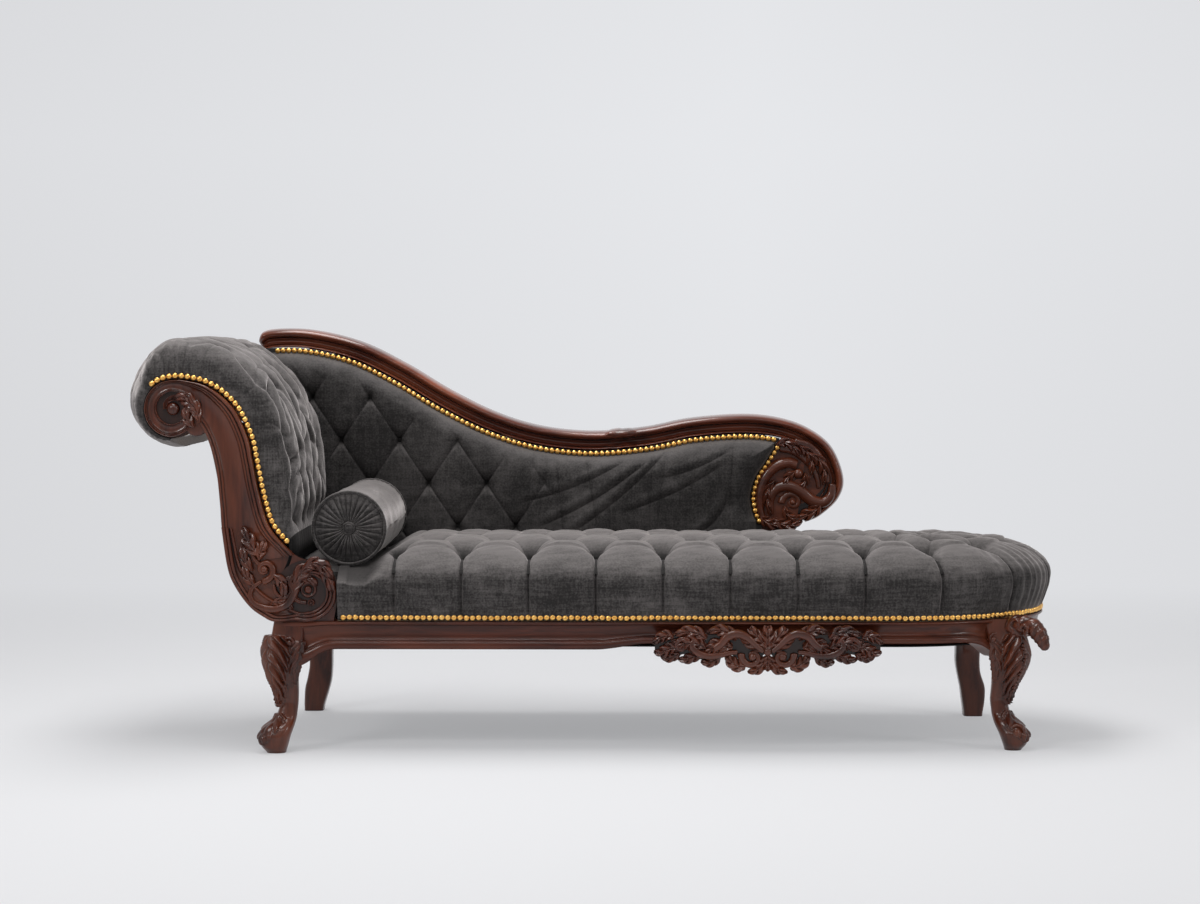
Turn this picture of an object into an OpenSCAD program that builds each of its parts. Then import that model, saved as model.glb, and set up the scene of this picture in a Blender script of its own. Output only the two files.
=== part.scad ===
// Fainting couch: a one-armed tufted day bed on a carved wooden frame, with a loose bolster.
// The head end is on the left (-X), the rounded foot on the right (+X), the front faces -Y.
// The origin is on the floor under the middle of the outside box.

/* [Overall] */
// Length from the head roll to the rounded foot of the seat
couch_length = 1920; // [1840:10:2100]
// Width of the seat frame over the front and rear rails
seat_width = 656; // [600:4:720]
// Height of the crest rail above the floor at the head end
back_height = 854; // [830:2:900]
// Height of the crown of the seat above the floor
seat_height = 424; // [410:2:440]

/* [Legs] */
// Floor to the underside of the seat rails
leg_height = 209; // [190:1:235]
// Square block at the top of a front leg
front_block = 60; // [54:1:66]
// Square block at the top of a rear leg
rear_block = 54; // [48:1:60]
// How far a front toe stands out from its block, each way
toe_reach = 28; // [20:1:34]
// Half width of a front toe scroll
toe_half = 31; // [26:1:34]
// Half width of a rear sole
rear_sole_half = 22; // [18:1:26]
// Angle of the foot legs from the long axis, round the foot
foot_leg_angle = 48; // [44:1:52]

/* [Seat frame] */
// Height of a seat rail
rail_height = 55; // [48:1:62]
// Thickness of a seat rail
rail_thick = 44; // [38:1:48]
// Depth of the hollow in the face of the rail
rail_hollow = 9; // [5:0.5:12]
// How far the rail arches up between the carving and the foot leg
rail_arch = 11; // [4:1:14]
// How far a rail drops into its leg in a curved bracket
bracket_drop = 22; // [12:1:28]
// Thickness of a cross rail
cross_rail = 34; // [24:1:44]
// Side of a triangular corner block
corner_block = 62; // [44:2:76]
// Carved apron below the front rail, over all
apron_length = 464; // [400:4:520]
// Height of the carved apron at its middle
apron_height = 92; // [76:1:96]
// Thickness of the carved apron
apron_thick = 12; // [8:0.5:16]

/* [Head] */
// Length from the centre of the lower volute to that of the upper one
head_run = 266; // [240:2:286]
// Height from the centre of the lower volute to that of the upper one
head_rise = 366; // [350:2:372]
// Radius of the upper volute of the scroll
upper_volute = 58; // [52:1:64]
// Radius of the lower volute of the scroll
lower_volute = 62; // [56:1:66]
// Thickness of the front scroll
scroll_thick = 46; // [38:1:54]
// Thickness of the plain post at the rear of the head
head_post = 38; // [28:1:44]
// Raised moulding along both edges of the front scroll
scroll_rim = 10; // [7:0.5:13]
// Thickness of the head padding where it is fullest
head_pad = 72; // [56:1:80]

/* [Back] */
// Length of the back from the end of the crest rail to the foot scroll
back_length = 1316; // [1240:4:1320]
// Width of the crest rail, from its top edge to the cloth
crest_width = 44; // [36:1:50]
// Thickness of the crest rail, front to rear
crest_thick = 48; // [40:1:54]
// Thickness of a back upright
back_upright = 38; // [28:1:40]
// Thickness of the back padding where it is fullest
back_pad = 46; // [32:1:52]

/* [Soft parts] */
// How far the seat swells past the frame
seat_bulge = 17; // [10:1:24]
// Spacing of the tufts along the seat
tuft_pitch = 135; // [128:1:142]
// Depth of a tuft in the seat
seat_tuft = 26; // [14:1:32]
// Depth of a tuft in the head and the back
wall_tuft = 20; // [10:1:26]
// Radius of a covered button
button_radius = 8; // [6:0.5:9]
// Radius of the bolster
bolster_radius = 75; // [64:1:80]
// Length of the bolster
bolster_length = 490; // [400:5:520]
// Thickness of the piping round a bolster end
piping = 6; // [4:0.5:7]
// Diameter of a brass nail
nail_width = 11; // [9:0.5:12]
// Spacing of the nails, centre to centre
nail_pitch = 12.4; // [12.2:0.1:15]

/* [Hidden] */

// Clearances and cloths
fit = 0.3;
cut = 1;
web_thick = 2;
cloth_thick = 1;
panel_thick = 2.4;
wood = "#4a1f14";
beech = "#c9a36a";
velvet = "#3c3b3d";
linen = "#9c8a68";
black_cloth = "#1b1b1b";
brass = "#d6a43a";

// The head in its own frame, with the centre of the upper volute at the origin
// Its edges are shares of the run and the rise, from the centre of the lower volute
function head_local(s) = [(1 - s[0]) * head_run, (s[1] - 1) * head_rise];
left_edge_shares = [[0.24, -lower_volute / head_rise], [0.33, -0.14], [0.43, -0.085], [0.535, 0.02], [0.595, 0.13], [0.64, 0.35],
    [0.66, 0.57], [0.72, 0.79], [0.77, 0.88]];
right_edge_shares = [[0.09, 0.2], [0.27, 0.35], [0.352, 0.54], [0.402, 0.725], [0.435, 0.84], [0.52, 0.98],
    [0.63, 1.07], [0.76, 1.13], [0.9, 1.155]];
// Angles round the upper volute where the cloth goes on past the scroll
volute_turns = [90, 120, 150, 180, 210, 240, 265];
head_path_local = curve(concat([for (s = right_edge_shares) head_local(s)],
    [for (a = volute_turns) upper_volute * [cos(a), sin(a)]]), 2);
// Thickness of the padding at each knot of that line, as a share of its fullest
pad_shares = [0.12, 0.75, 0.94, 1, 1, 1.02, 1.05, 1.1, 1.13, 1.14, 1.08, 0.97, 0.86, 0.66, 0.45, 0.3];
function pad_at(i) = head_pad * mix(pad_shares[floor(i / 2)], pad_shares[min(len(pad_shares) - 1, ceil(i / 2))], 0.5);
pad_outer_local = [for (i = [0:len(head_path_local) - 1]) head_path_local[i] - normal(head_path_local, i) * pad_at(i)];

// Levels and planes
rail_top = leg_height + rail_height;
half_width = seat_width / 2;
rail_inner = half_width - rail_thick;
foot_x = couch_length / 2 - seat_bulge - half_width;
deck = rail_top + web_thick + cloth_thick + fit;
lower_z = rail_top + lower_volute;
upper_z = lower_z + head_rise;
// The roll's padding reaches the end of the couch
upper_x = -couch_length / 2 - min([for (p = pad_outer_local) p[0]]);
lower_x = upper_x + head_run;

// Places of the legs
head_leg_x = lower_x - front_block * 0.62;
front_leg_y = -(half_width - front_block / 2);
rear_leg_y = half_width - rear_block / 2;
head_rear_x = head_leg_x - (front_block - rear_block) / 2;
foot_front_r = rail_inner + front_block / 2;
foot_rear_r = rail_inner + rear_block / 2;
couch_depth = 2 * (toe_reach + toe_half - front_leg_y);
rear_splay = couch_depth / 2 - rear_sole_half - rear_leg_y;

// Planes of the back
back_front = half_width - crest_thick + 2 * fit;
back_rear = half_width + 2 * fit;
frame_front = back_front + web_thick;
frame_rear = frame_front + back_upright;
back_left = foot_x - half_width * 0.2 - back_length;

// Small helpers
function mix(a, b, t) = a + (b - a) * t;
function clamp(t, low = 0, high = 1) = min(high, max(low, t));
function ease(t) = let (c = clamp(t)) c * c * (3 - 2 * c);
function round_off(t) = sqrt(max(0, 1 - pow(1 - clamp(t), 2)));
function unit(v) = v / max(norm(v), 1e-9);

// A smooth curve through hand-placed knots
function knot(k, i) = i < 0 ? 2 * k[0] - k[1] : i >= len(k) ? 2 * k[len(k) - 1] - k[len(k) - 2] : k[i];
function bend(a, b, c, d, f) = b + 0.5 * f * (c - a + f * (2 * a - 5 * b + 4 * c - d + f * (3 * (b - c) + d - a)));
function spline_at(k, t) =
    let (i = min(len(k) - 2, floor(t)))
    bend(knot(k, i - 1), knot(k, i), knot(k, i + 1), knot(k, i + 2), t - i);
function curve(k, steps) = [for (n = [0:(len(k) - 1) * steps]) spline_at(k, n / steps)];

// Left-hand normal of a curve at one of its points, and the curve moved along its normals
function tangent(p, i) = unit(p[min(len(p) - 1, i + 1)] - p[max(0, i - 1)]);
function normal(p, i) = let (t = tangent(p, i)) [-t[1], t[0]];
function beside(p, d) = [for (i = [0:len(p) - 1]) p[i] + normal(p, i) * d];
function run_of(p) = [for (i = 0, s = 0; i < len(p); s = s + (i < len(p) - 1 ? norm(p[i + 1] - p[i]) : 0), i = i + 1) s];
function along(p, runs, s) = [
    lookup(s, [for (i = [0:len(p) - 1]) [runs[i], p[i][0]]]),
    lookup(s, [for (i = [0:len(p) - 1]) [runs[i], p[i][1]]])];
function reversed(p) = [for (i = [len(p) - 1:-1:0]) p[i]];

// Faces of a skin over rings of points, closed round each ring and capped at both ends
function skin(m, n) = [for (i = [0:m - 2], j = [0:n - 1])
    let (a = i * n + j, b = i * n + (j + 1) % n)
    each [[a, a + n, b + n], [a, b + n, b]]];
module loft(rings) {
    n = len(rings[0]);
    m = len(rings);
    caps = [[for (j = [0:n - 1]) j], [for (j = [n - 1:-1:0]) (m - 1) * n + j]];
    polyhedron([for (r = rings) each r], concat(skin(m, n), caps), convexity = 10);
}

// A plate standing in the XZ plane between two values of Y
module upright_plate(y_front, y_rear) {
    translate([0, y_rear, 0])
        rotate([90, 0, 0])
            linear_extrude(y_rear - y_front)
                children();
}

// Place of the carved apron
apron_x = foot_x - apron_length * 0.567;
apron_y = -half_width - fit;
apron_top = rail_top - rail_height * 0.15;

// Seat rails: a moulded section carried round the frame
// Each point is [distance in from the outer plane, height]; low is the underside at that place
function rail_section(low) = let (face_low = low + rail_height * 0.3, face_high = rail_top - rail_height * 0.15) reversed([
    [rail_thick, low],
    [rail_hollow * 0.15, low],
    [0, low + rail_height * 0.08],
    [rail_hollow * 0.05, low + rail_height * 0.22],
    [rail_hollow * 0.45, face_low],
    [rail_hollow, mix(face_low, face_high, 0.45)],
    [rail_hollow * 0.75, mix(face_low, face_high, 0.92)],
    [rail_hollow * 0.6, face_high],
    [rail_hollow * 0.1, rail_top - rail_height * 0.11],
    [0, rail_top - rail_height * 0.04],
    [rail_hollow * 0.15, rail_top],
    [rail_thick, rail_top]
]);
// Underside of the front rail and the foot rail, by distance along the seat from the round's start
function drop_near(d) = bracket_drop * pow(clamp(1 - d / rail_height), 2);
arch_start = -(foot_x - apron_x - apron_length / 2);
foot_arc_run = half_width * (90 - foot_leg_angle) * PI / 180;
function rail_low(s) = leg_height + rail_arch * ease((s - arch_start) / (-arch_start))
    - drop_near(foot_x + s - head_leg_x - front_block / 2)
    - (rail_arch * 0.9 + drop_near(0)) * pow(clamp(1 - (foot_arc_run - s - front_block / 2) / rail_height), 2);
// Ring of rail points at angle a round the foot; off is the sideways place of a flat end
function round_ring(a, low) = [for (q = rail_section(low))
    [foot_x + (half_width - q[0]) * cos(a), (half_width - q[0]) * sin(a), q[1]]];
function flat_end_ring(a, off, low) = [for (q = rail_section(low))
    let (r = half_width - q[0], g = sqrt(r * r - off * off))
    [foot_x + g * cos(a) - off * sin(a), g * sin(a) + off * cos(a), q[1]]];

// How far the last round ring stays clear of a flat end, as a share of the block's own angle
block_clear_share = 1.5;
front_bracket_shares = [0, 0.15, 0.35, 0.6, 1];
module front_seat_rail() {
    x0 = head_leg_x + front_block / 2;
    places = concat([for (f = front_bracket_shares) x0 + rail_height * f],
        [for (f = [0, 0.33, 0.67, 1]) mix(foot_x + arch_start, foot_x, f)]);
    color(wood)
        loft([for (x = places) [for (q = rail_section(rail_low(x - foot_x))) [x, -half_width + q[0], q[1]]]]);
}
module foot_rail_front() {
    steps = 8;
    block_off = front_block / 2 + fit / 2;
    end_turn = asin(front_block / 2 / half_width);
    a_end = -foot_leg_angle - end_turn * block_clear_share;
    color(wood)
        loft(concat(
            [for (i = [0:steps]) let (a = mix(-90, a_end, i / steps), s = (a + 90) * PI / 180 * half_width)
                round_ring(a, rail_low(s))],
            [flat_end_ring(-foot_leg_angle, -block_off, rail_low(foot_arc_run - front_block / 2))]));
}
module foot_rail_end() {
    steps = 12;
    low = leg_height + rail_arch * 0.4;
    turn_front = asin(front_block / 2 / half_width) * block_clear_share;
    turn_rear = asin(rear_block / 2 / half_width) * block_clear_share;
    color(wood)
        loft(concat(
            [flat_end_ring(-foot_leg_angle, front_block / 2 + fit / 2, low - bracket_drop / 2)],
            [for (i = [0:steps]) round_ring(mix(-foot_leg_angle + turn_front, foot_leg_angle - turn_rear, i / steps), low)],
            [flat_end_ring(foot_leg_angle, -rear_block / 2 - fit / 2, low - bracket_drop / 2)]));
}
module foot_rail_rear() {
    steps = 6;
    turn = asin(rear_block / 2 / half_width) * block_clear_share;
    color(wood)
        loft(concat(
            [flat_end_ring(foot_leg_angle, rear_block / 2 + fit / 2, leg_height)],
            [for (i = [0:steps]) round_ring(mix(foot_leg_angle + turn, 90, i / steps), leg_height)]));
}
module rear_seat_rail() {
    x0 = head_rear_x + rear_block / 2;
    color(wood)
        loft([for (x = [foot_x, x0]) [for (q = rail_section(leg_height)) [x, half_width - q[0], q[1]]]]);
}
module head_seat_rail() {
    x0 = head_leg_x - front_block / 2 + rail_hollow;
    y0 = front_leg_y + front_block / 2;
    y1 = rear_leg_y - rear_block / 2;
    color(wood)
        loft([for (y = [y1, y0]) [for (q = rail_section(leg_height)) [x0 + q[0], y, q[1]]]]);
}

// A cross rail between the long rails, under the webbing
module cross_rail_at(x) {
    color(beech)
        translate([x - cross_rail / 2, -rail_inner + fit, leg_height + panel_thick + cloth_thick])
            cube([cross_rail, 2 * (rail_inner - fit), rail_height - panel_thick - cloth_thick]);
}
module middle_cross_rail() { cross_rail_at(mix(head_leg_x, foot_x, 0.37)); }
module foot_cross_rail() { cross_rail_at(mix(head_leg_x, foot_x, 0.74)); }

// Triangular blocks glued into the corners of the frame
module corner_block_at(x, y, turn) {
    translate([x, y, leg_height + panel_thick + cloth_thick])
        rotate([0, 0, turn])
            linear_extrude(rail_height - panel_thick - 2 * cloth_thick)
                polygon([[0, 0], [corner_block, 0], [corner_block, corner_block * 0.2],
                    [corner_block * 0.2, corner_block], [0, corner_block]]);
}
module corner_blocks() {
    x0 = max(head_leg_x - front_block / 2 + rail_hollow + rail_thick, head_leg_x + front_block / 2) + fit;
    y0 = min(rail_inner, -front_leg_y - front_block / 2, rear_leg_y - rear_block / 2) - fit;
    x1 = mix(head_leg_x, foot_x, 0.74) + cross_rail / 2 + fit;
    color(beech) {
        corner_block_at(x0, -y0, 0);
        corner_block_at(x0, y0, -90);
        corner_block_at(x1, -rail_inner + fit, 0);
        corner_block_at(x1, rail_inner - fit, -90);
    }
}

// A leg is lofted through square rings with rounded corners
// Each ring is [height, outward move, half width, corner roundness]
corner_shares = [0, 0.29, 1];
function ring_2d(half, round) = [for (k = [0:3]) for (c = [0:2])
    let (g = round * half, f = [[1, 1 - round], [1 - round * 0.29, 1 - round * 0.29], [1 - round, 1]][c] * half)
    [f[0] * cos(90 * k) - f[1] * sin(90 * k), f[0] * sin(90 * k) + f[1] * cos(90 * k)]];
function ring_at(centre, turn, half, round, z) = [for (q = ring_2d(half, round))
    [centre[0] + q[0] * cos(turn) - q[1] * sin(turn), centre[1] + q[0] * sin(turn) + q[1] * cos(turn), z]];
// Height, outward move and half width as shares of the leg height, the toe reach and the block or toe
toe_shares = [[0, 0.87, 0.6], [0.06, 1, 0.84], [0.165, 1, 1], [0.245, 0.72, 0.96], [0.325, 0.32, 0.74]];
shin_shares = [[0.4, 0.1, 0.64], [0.48, 0.04, 0.64], [0.6, 0.18, 0.76], [0.71, 0.38, 0.94]];
knee_shares = [[0.82, 0.5, 0.98], [0.91, 0.45, 1], [0.975, 0.2, 1], [1, 0, 1]];
module front_leg(centre, turn, diagonal) {
    out = [cos(diagonal), sin(diagonal)] * toe_reach * sqrt(2);
    block = front_block / 2;
    color(wood)
        loft(concat(
            [for (t = toe_shares) ring_at(centre + out * t[1], turn, toe_half * t[2], 0.75, leg_height * t[0])],
            [for (t = shin_shares) ring_at(centre + out * t[1], turn, block * t[2], 0.8, leg_height * t[0])],
            [for (t = knee_shares) ring_at(centre + out * t[1], turn, block * t[2], mix(0.6, 0.12, ease(t[0] * 10 - 9)),
                leg_height * t[0])],
            [ring_at(centre, turn, block, 0.12, rail_top)]));
}
module rear_leg(centre, turn, out) {
    sabre_shares = [[0, 1, 0], [0.1, 0.93, 0.1], [0.3, 0.6, 0.35], [0.55, 0.25, 0.7], [0.8, 0.05, 0.95], [1, 0, 1]];
    block = rear_block / 2;
    color(wood)
        loft(concat(
            [for (t = sabre_shares) ring_at(centre + out * t[1], turn, mix(rear_sole_half, block, t[2]), 0.2,
                leg_height * t[0])],
            [ring_at(centre, turn, block, 0.12, rail_top)]));
}
foot_front_centre = [foot_x + foot_front_r * cos(foot_leg_angle), -foot_front_r * sin(foot_leg_angle)];
foot_rear_centre = [foot_x + foot_rear_r * cos(foot_leg_angle), foot_rear_r * sin(foot_leg_angle)];
module head_front_leg() { front_leg([head_leg_x, front_leg_y], 0, 225); }
module foot_front_leg() {
    front_leg(foot_front_centre, -foot_leg_angle, -foot_leg_angle);
    knee_scroll();
}
module head_rear_leg() { rear_leg([head_rear_x, rear_leg_y], 0, [-rear_splay * 0.5, rear_splay]); }
module foot_rear_leg() {
    rear_leg(foot_rear_centre, foot_leg_angle, [cos(foot_leg_angle), sin(foot_leg_angle)] * rear_splay);
}

// The carved scroll that curls out from the foot leg's knee, a beaked leaf end
knee_scroll_reach = front_block * 0.95;
knee_scroll_thick = front_block * 0.42;
beak_shares = [[0, 0.93], [0.35, 1], [0.62, 0.98], [0.86, 0.66], [1, 0.3], [0.96, 0.12], [0.86, 0.06], [0.66, 0.22],
    [0.46, 0.36], [0.2, 0.34], [0, 0.2]];
module knee_scroll() {
    x0 = foot_front_centre[0] + front_block * 0.55;
    y0 = foot_front_centre[1] - front_block * 0.08;
    color(wood)
        upright_plate(y0 - knee_scroll_thick / 2, y0 + knee_scroll_thick / 2)
            translate([x0, leg_height * 0.98])
                polygon([for (p = beak_shares) [p[0] * knee_scroll_reach, p[1] * (rail_height * 0.94)]]);
}

// Carved apron: a fan of leaves over two scrolls, with a leaf scroll at each side
apron_shares = [[0, 0], [0.05, -0.02], [0.09, -0.12], [0.13, -0.2], [0.2, -0.16], [0.3, -0.04], [0.36, -0.1],
    [0.5, -0.02], [0.62, -0.06], [0.66, -0.14], [0.78, -0.06], [0.9, -0.02], [0.96, -0.16], [1, -0.5], [0.97, -0.72],
    [0.8, -0.74], [0.66, -0.68], [0.56, -0.6], [0.48, -0.66], [0.4, -0.78], [0.28, -0.9], [0.2, -1], [0.1, -0.98], [0, -0.86]];
module apron_outline() {
    right = [for (p = apron_shares) [p[0] * apron_length / 2, p[1] * apron_height]];
    polygon(concat(right, [for (i = [len(right) - 2:-1:1]) [-right[i][0], right[i][1]]]));
}
leaf_shares = [[0, 0], [0.12, 0.1], [0.35, 0.17], [0.6, 0.16], [0.85, 0.08], [1, 0], [0.85, -0.08], [0.6, -0.16],
    [0.35, -0.17], [0.12, -0.1]];
module leaf(length, thick) {
    linear_extrude(thick)
        polygon([for (p = leaf_shares) [p[0], p[1]] * length]);
}
// Leaves round a point; each is a little lower than the one before
module leaf_spray(angles, length, thick) {
    for (i = [0:len(angles) - 1])
        rotate([0, 0, angles[i]])
            leaf(length, thick * (1 - 0.04 * i));
}
module apron_side(lift) {
    scroll = apron_height * 0.2;
    translate([apron_length * 0.02, -apron_height * 0.6])
        leaf_spray([20, 48, 72], apron_height * 0.48, apron_thick * (0.88 + lift));
    translate([apron_length * 0.09, -apron_height * 0.78])
        cylinder(h = apron_thick * (0.95 + lift), r = scroll * 0.85, $fn = 32);
    translate([apron_length * 0.4, -apron_height * 0.42])
        cylinder(h = apron_thick * (0.98 + lift), r = scroll * 0.95, $fn = 32);
    translate([apron_length * 0.29, -apron_height * 0.42])
        leaf_spray([10, 55, 130, 175], apron_height * 0.4, apron_thick * (0.84 + lift));
}
module apron_carving() {
    color(wood)
        translate([apron_x, apron_y, apron_top])
            rotate([90, 0, 0]) {
                linear_extrude(apron_thick * 0.55)
                    apron_outline();
                apron_side(0);
                mirror([1, 0, 0])
                    apron_side(0.01);
                translate([0, -apron_height * 0.6])
                    rotate([0, 0, 90])
                        leaf(apron_height * 0.5, apron_thick);
            }
}

// Head: a scrolled S, upper volute at the left, lower volute on the rail
function on_head(s) = [upper_x, upper_z] + head_local(s);
head_left = curve([for (s = left_edge_shares) on_head(s)], 3);
head_right = curve([for (s = right_edge_shares) on_head(s)], 3);
head_path = [for (p = head_path_local) p + [upper_x, upper_z]];

module scroll_outline() {
    polygon(concat([[lower_x, rail_top]], head_right, [[upper_x, upper_z]], reversed(head_left)));
    translate([upper_x, upper_z])
        circle(r = upper_volute, $fn = 64);
    translate([lower_x, lower_z])
        circle(r = lower_volute, $fn = 64);
}
module front_head_scroll() {
    face = -half_width - 2 * fit;
    step = scroll_rim * 0.35;
    color(wood) {
        upright_plate(face + step, face + scroll_thick)
            scroll_outline();
        upright_plate(face, face + step + cut)
            volute_ring(upper_volute);
        upright_plate(face, face + step + cut)
            translate([upper_x, upper_z])
                circle(r = scroll_rim * 1.2, $fn = 32);
        upright_plate(face, face + step + cut)
            translate([lower_x - upper_x, lower_z - upper_z])
                volute_ring(lower_volute);
        upright_plate(face, face + step + cut)
            scroll_band([for (i = [1:len(head_right) - 4]) head_right[i]], -scroll_rim);
        upright_plate(face, face + step + cut)
            scroll_band([for (i = [2:len(head_left) - 1]) head_left[i]], scroll_rim);
    }
}
module volute_ring(r) {
    translate([upper_x, upper_z])
        difference() {
            circle(r = r, $fn = 64);
            circle(r = r - scroll_rim, $fn = 64);
        }
}
// A band of one width along an edge, inside it
module scroll_band(edge, width) {
    polygon(concat(edge, reversed(beside(edge, -width))));
}
// The rear post has the same sweep on a plain foot
module rear_head_post() {
    y1 = rear_leg_y - rear_block / 2 - fit;
    color(beech)
        upright_plate(y1 - head_post, y1) {
            polygon(concat(
                [[head_right[2][0], rail_top]],
                [for (i = [2:len(head_right) - 1]) head_right[i]],
                [[upper_x, upper_z]],
                reversed(head_left)));
            translate([upper_x, upper_z])
                circle(r = upper_volute - 3 * fit, $fn = 64);
        }
}
inside_front = -half_width - 2 * fit + scroll_thick;
inside_rear = rear_leg_y - rear_block / 2 - fit - head_post;
module head_roll_bar() {
    color(beech)
        translate([upper_x, inside_front, upper_z])
            rotate([-90, 0, 0])
                cylinder(h = inside_rear - inside_front, r = upper_volute - 3 * fit, $fn = 64);
}
// Boards across the head, between the scroll and the post; each share is a place up the right edge
slat_places = [5, 8, 12];
module head_slats() {
    depth = head_post * 0.45;
    for (i = slat_places)
        let (p = head_right[i], n = normal(head_right, i), t = tangent(head_right, i), w = head_post * 0.7)
        color(beech)
            upright_plate(inside_front, inside_rear)
                polygon([p + n * web_thick * 1.5 + t * w, p + n * (depth + fit) + t * w,
                    p + n * (depth + fit) - t * w, p + n * web_thick * 1.5 - t * w]);
}
// Linen over the posts, under the head padding
module head_hessian() {
    path = [for (i = [2:len(head_path) - 1]) head_path[i]];
    color(linen)
        upright_plate(inside_front + fit, inside_rear + head_post)
            polygon(concat(beside(path, -2.5 * fit), reversed(beside(path, -web_thick))));
}
// Velvet over the outside of the head, from under the roll to the rail
module outside_head_panel() {
    color(velvet)
        upright_plate(inside_front + fit, inside_rear - fit)
            polygon(concat(head_left, reversed(beside(head_left, -panel_thick))));
}

// Back: the crest rail's top edge, as shares of the back's length and of its height over the rail
crest_shares = [[0.004, 0.975], [0.032, 1], [0.1, 0.998], [0.183, 0.954], [0.259, 0.872], [0.335, 0.771],
    [0.411, 0.688], [0.487, 0.636], [0.574, 0.616], [0.663, 0.632], [0.739, 0.665], [0.828, 0.68], [0.891, 0.666],
    [0.941, 0.626], [0.98, 0.555], [1, 0.44], [0.991, 0.36], [0.96, 0.295], [0.935, 0.27]];
function on_back(s) = [back_left + s[0] * back_length, rail_top + s[1] * (back_height - rail_top)];
crest_line = curve([for (s = crest_shares) on_back(s)], 3);
crest_inner = beside(crest_line, -crest_width);
// Moulded section: [share of the width in from the edge, share of the thickness forward]
crest_profile_shares = [[0, 0.2], [0.03, 0.68], [0.16, 0.96], [0.3, 1], [0.45, 0.9], [0.53, 0.7], [0.74, 0.64],
    [0.84, 0.8], [0.94, 0.82], [1, 0.72], [1, 0]];
module crest_rail() {
    color(wood)
        loft([for (i = [0:len(crest_line) - 1])
            let (p = crest_line[i], n = -normal(crest_line, i), grow = mix(0.55, 1, round_off(i / 3)))
            [for (q = crest_profile_shares)
                let (u = mix(0.5, q[0], grow) * crest_width)
                [p[0] + n[0] * u, back_rear - q[1] * crest_thick, p[1] + n[1] * u]]]);
}
// Height of the cloth's edge under the crest, at a place along the back
crest_top_index = 38;
crest_under = [for (i = [0:crest_top_index - 3]) [crest_inner[i][0], crest_inner[i][1]]];
function under_crest(x) = lookup(x, crest_under);
collar_shares = [[-1, 0], [-0.8, 0.2], [-0.55, 0.16], [-0.35, 0.42], [0, 0.5], [0.35, 0.42], [0.55, 0.16], [0.8, 0.2], [1, 0]];
module crest_collar() {
    x = mix(back_left, back_left + back_length, 0.62);
    z = under_crest(x) + crest_width * 0.5;
    y0 = back_rear - crest_thick - fit;
    color(wood)
        upright_plate(y0 - crest_width * 0.1, y0)
            translate([x, z])
                polygon(concat(
                    [for (p = collar_shares) p * crest_width * 0.6],
                    [for (i = [len(collar_shares) - 2:-1:1]) [collar_shares[i][0], -collar_shares[i][1]] * crest_width * 0.6]));
}
// The carved scroll that fills the end of the crest
scroll_edge_shares = [[0.89, 0.555], [0.874, 0.497], [0.86, 0.45], [0.852, 0.4], [0.85, 0.36], [0.854, 0.31], [0.86, 0.278]];
scroll_edge = curve([for (s = scroll_edge_shares) on_back(s)], 3);
scroll_centre = on_back([0.924, 0.412]);
module back_foot_scroll() {
    inner = beside(crest_line, -crest_width - fit);
    last = len(inner) - 1;
    right = [for (i = [crest_top_index - 1:last]) inner[i]];
    y0 = back_front;
    boss = crest_width * 0.36;
    color(wood) {
        upright_plate(y0, back_rear)
            polygon(concat(reversed(scroll_edge), right,
                [[crest_line[last][0] - 2 * fit - crest_width * 0.45, scroll_edge[len(scroll_edge) - 1][1]]]));
        upright_plate(y0 - crest_width * 0.12, y0)
            translate(scroll_centre)
                circle(r = boss, $fn = 32);
        upright_plate(y0 - crest_width * 0.08, y0)
            for (a = [60, 100, 140, 180, 220, 260])
                translate(scroll_centre + boss * [cos(a), sin(a)])
                    rotate(a - 25)
                        polygon([for (p = leaf_shares) p * crest_width * 0.95]);
    }
}
module back_bottom_rail() {
    x0 = head_rear_x + rear_block / 2 + fit;
    x1 = scroll_edge[len(scroll_edge) - 1][0] - fit;
    color(beech)
        translate([x0, frame_front, rail_top])
            cube([x1 - x0, half_width - frame_front, back_upright]);
}
// An upright from the frame to the crest, its top cut to the crest's underside
module stile(x0, x1, foot) {
    color(beech)
        upright_plate(frame_front, half_width)
            polygon(concat([[x0, foot], [x1, foot]],
                [for (f = [1, 0.75, 0.5, 0.25, 0]) let (x = mix(x0, x1, f)) [x, under_crest(x) - fit]]));
}
module back_head_stile() { stile(head_rear_x - rear_block / 2, head_rear_x + rear_block / 2, rail_top); }
module back_middle_stile() {
    x = mix(head_leg_x, foot_x, 0.34);
    stile(x - back_upright / 2, x + back_upright / 2, rail_top + back_upright);
}
module back_foot_stile() {
    x = mix(head_leg_x, foot_x, 0.64);
    stile(x - back_upright / 2, x + back_upright / 2, rail_top + back_upright);
}
module back_scroll_stile() {
    x0 = scroll_edge[len(scroll_edge) - 1][0] + fit;
    top = scroll_edge[len(scroll_edge) - 1][1];
    color(wood)
        upright_plate(frame_front, half_width)
            polygon([[x0, rail_top], [x0 + back_upright * 1.4, rail_top], [x0 + back_upright * 1.7, top], [x0, top]]);
}
// Outline of the cloth between the frame, the crest and the scroll, drawn in by a margin
function back_outline(low, margin, left) = concat(
    [[scroll_edge[len(scroll_edge) - 1][0] - margin, low], [left, low]],
    [for (i = [6:crest_top_index - 3]) if (crest_inner[i][0] > left) [crest_inner[i][0], crest_inner[i][1] - margin]],
    [for (p = scroll_edge) [p[0] - margin, p[1]]]);
module back_hessian() {
    color(linen)
        upright_plate(back_front + fit, frame_front)
            polygon(back_outline(rail_top + back_upright * 0.3, 2 * fit, head_rear_x - rear_block / 2));
}
module outside_back_panel() {
    color(velvet)
        upright_plate(half_width, half_width + panel_thick)
            polygon(back_outline(rail_top - rail_height * 0.1, 2 * fit, head_rear_x - rear_block / 2));
}

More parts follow.
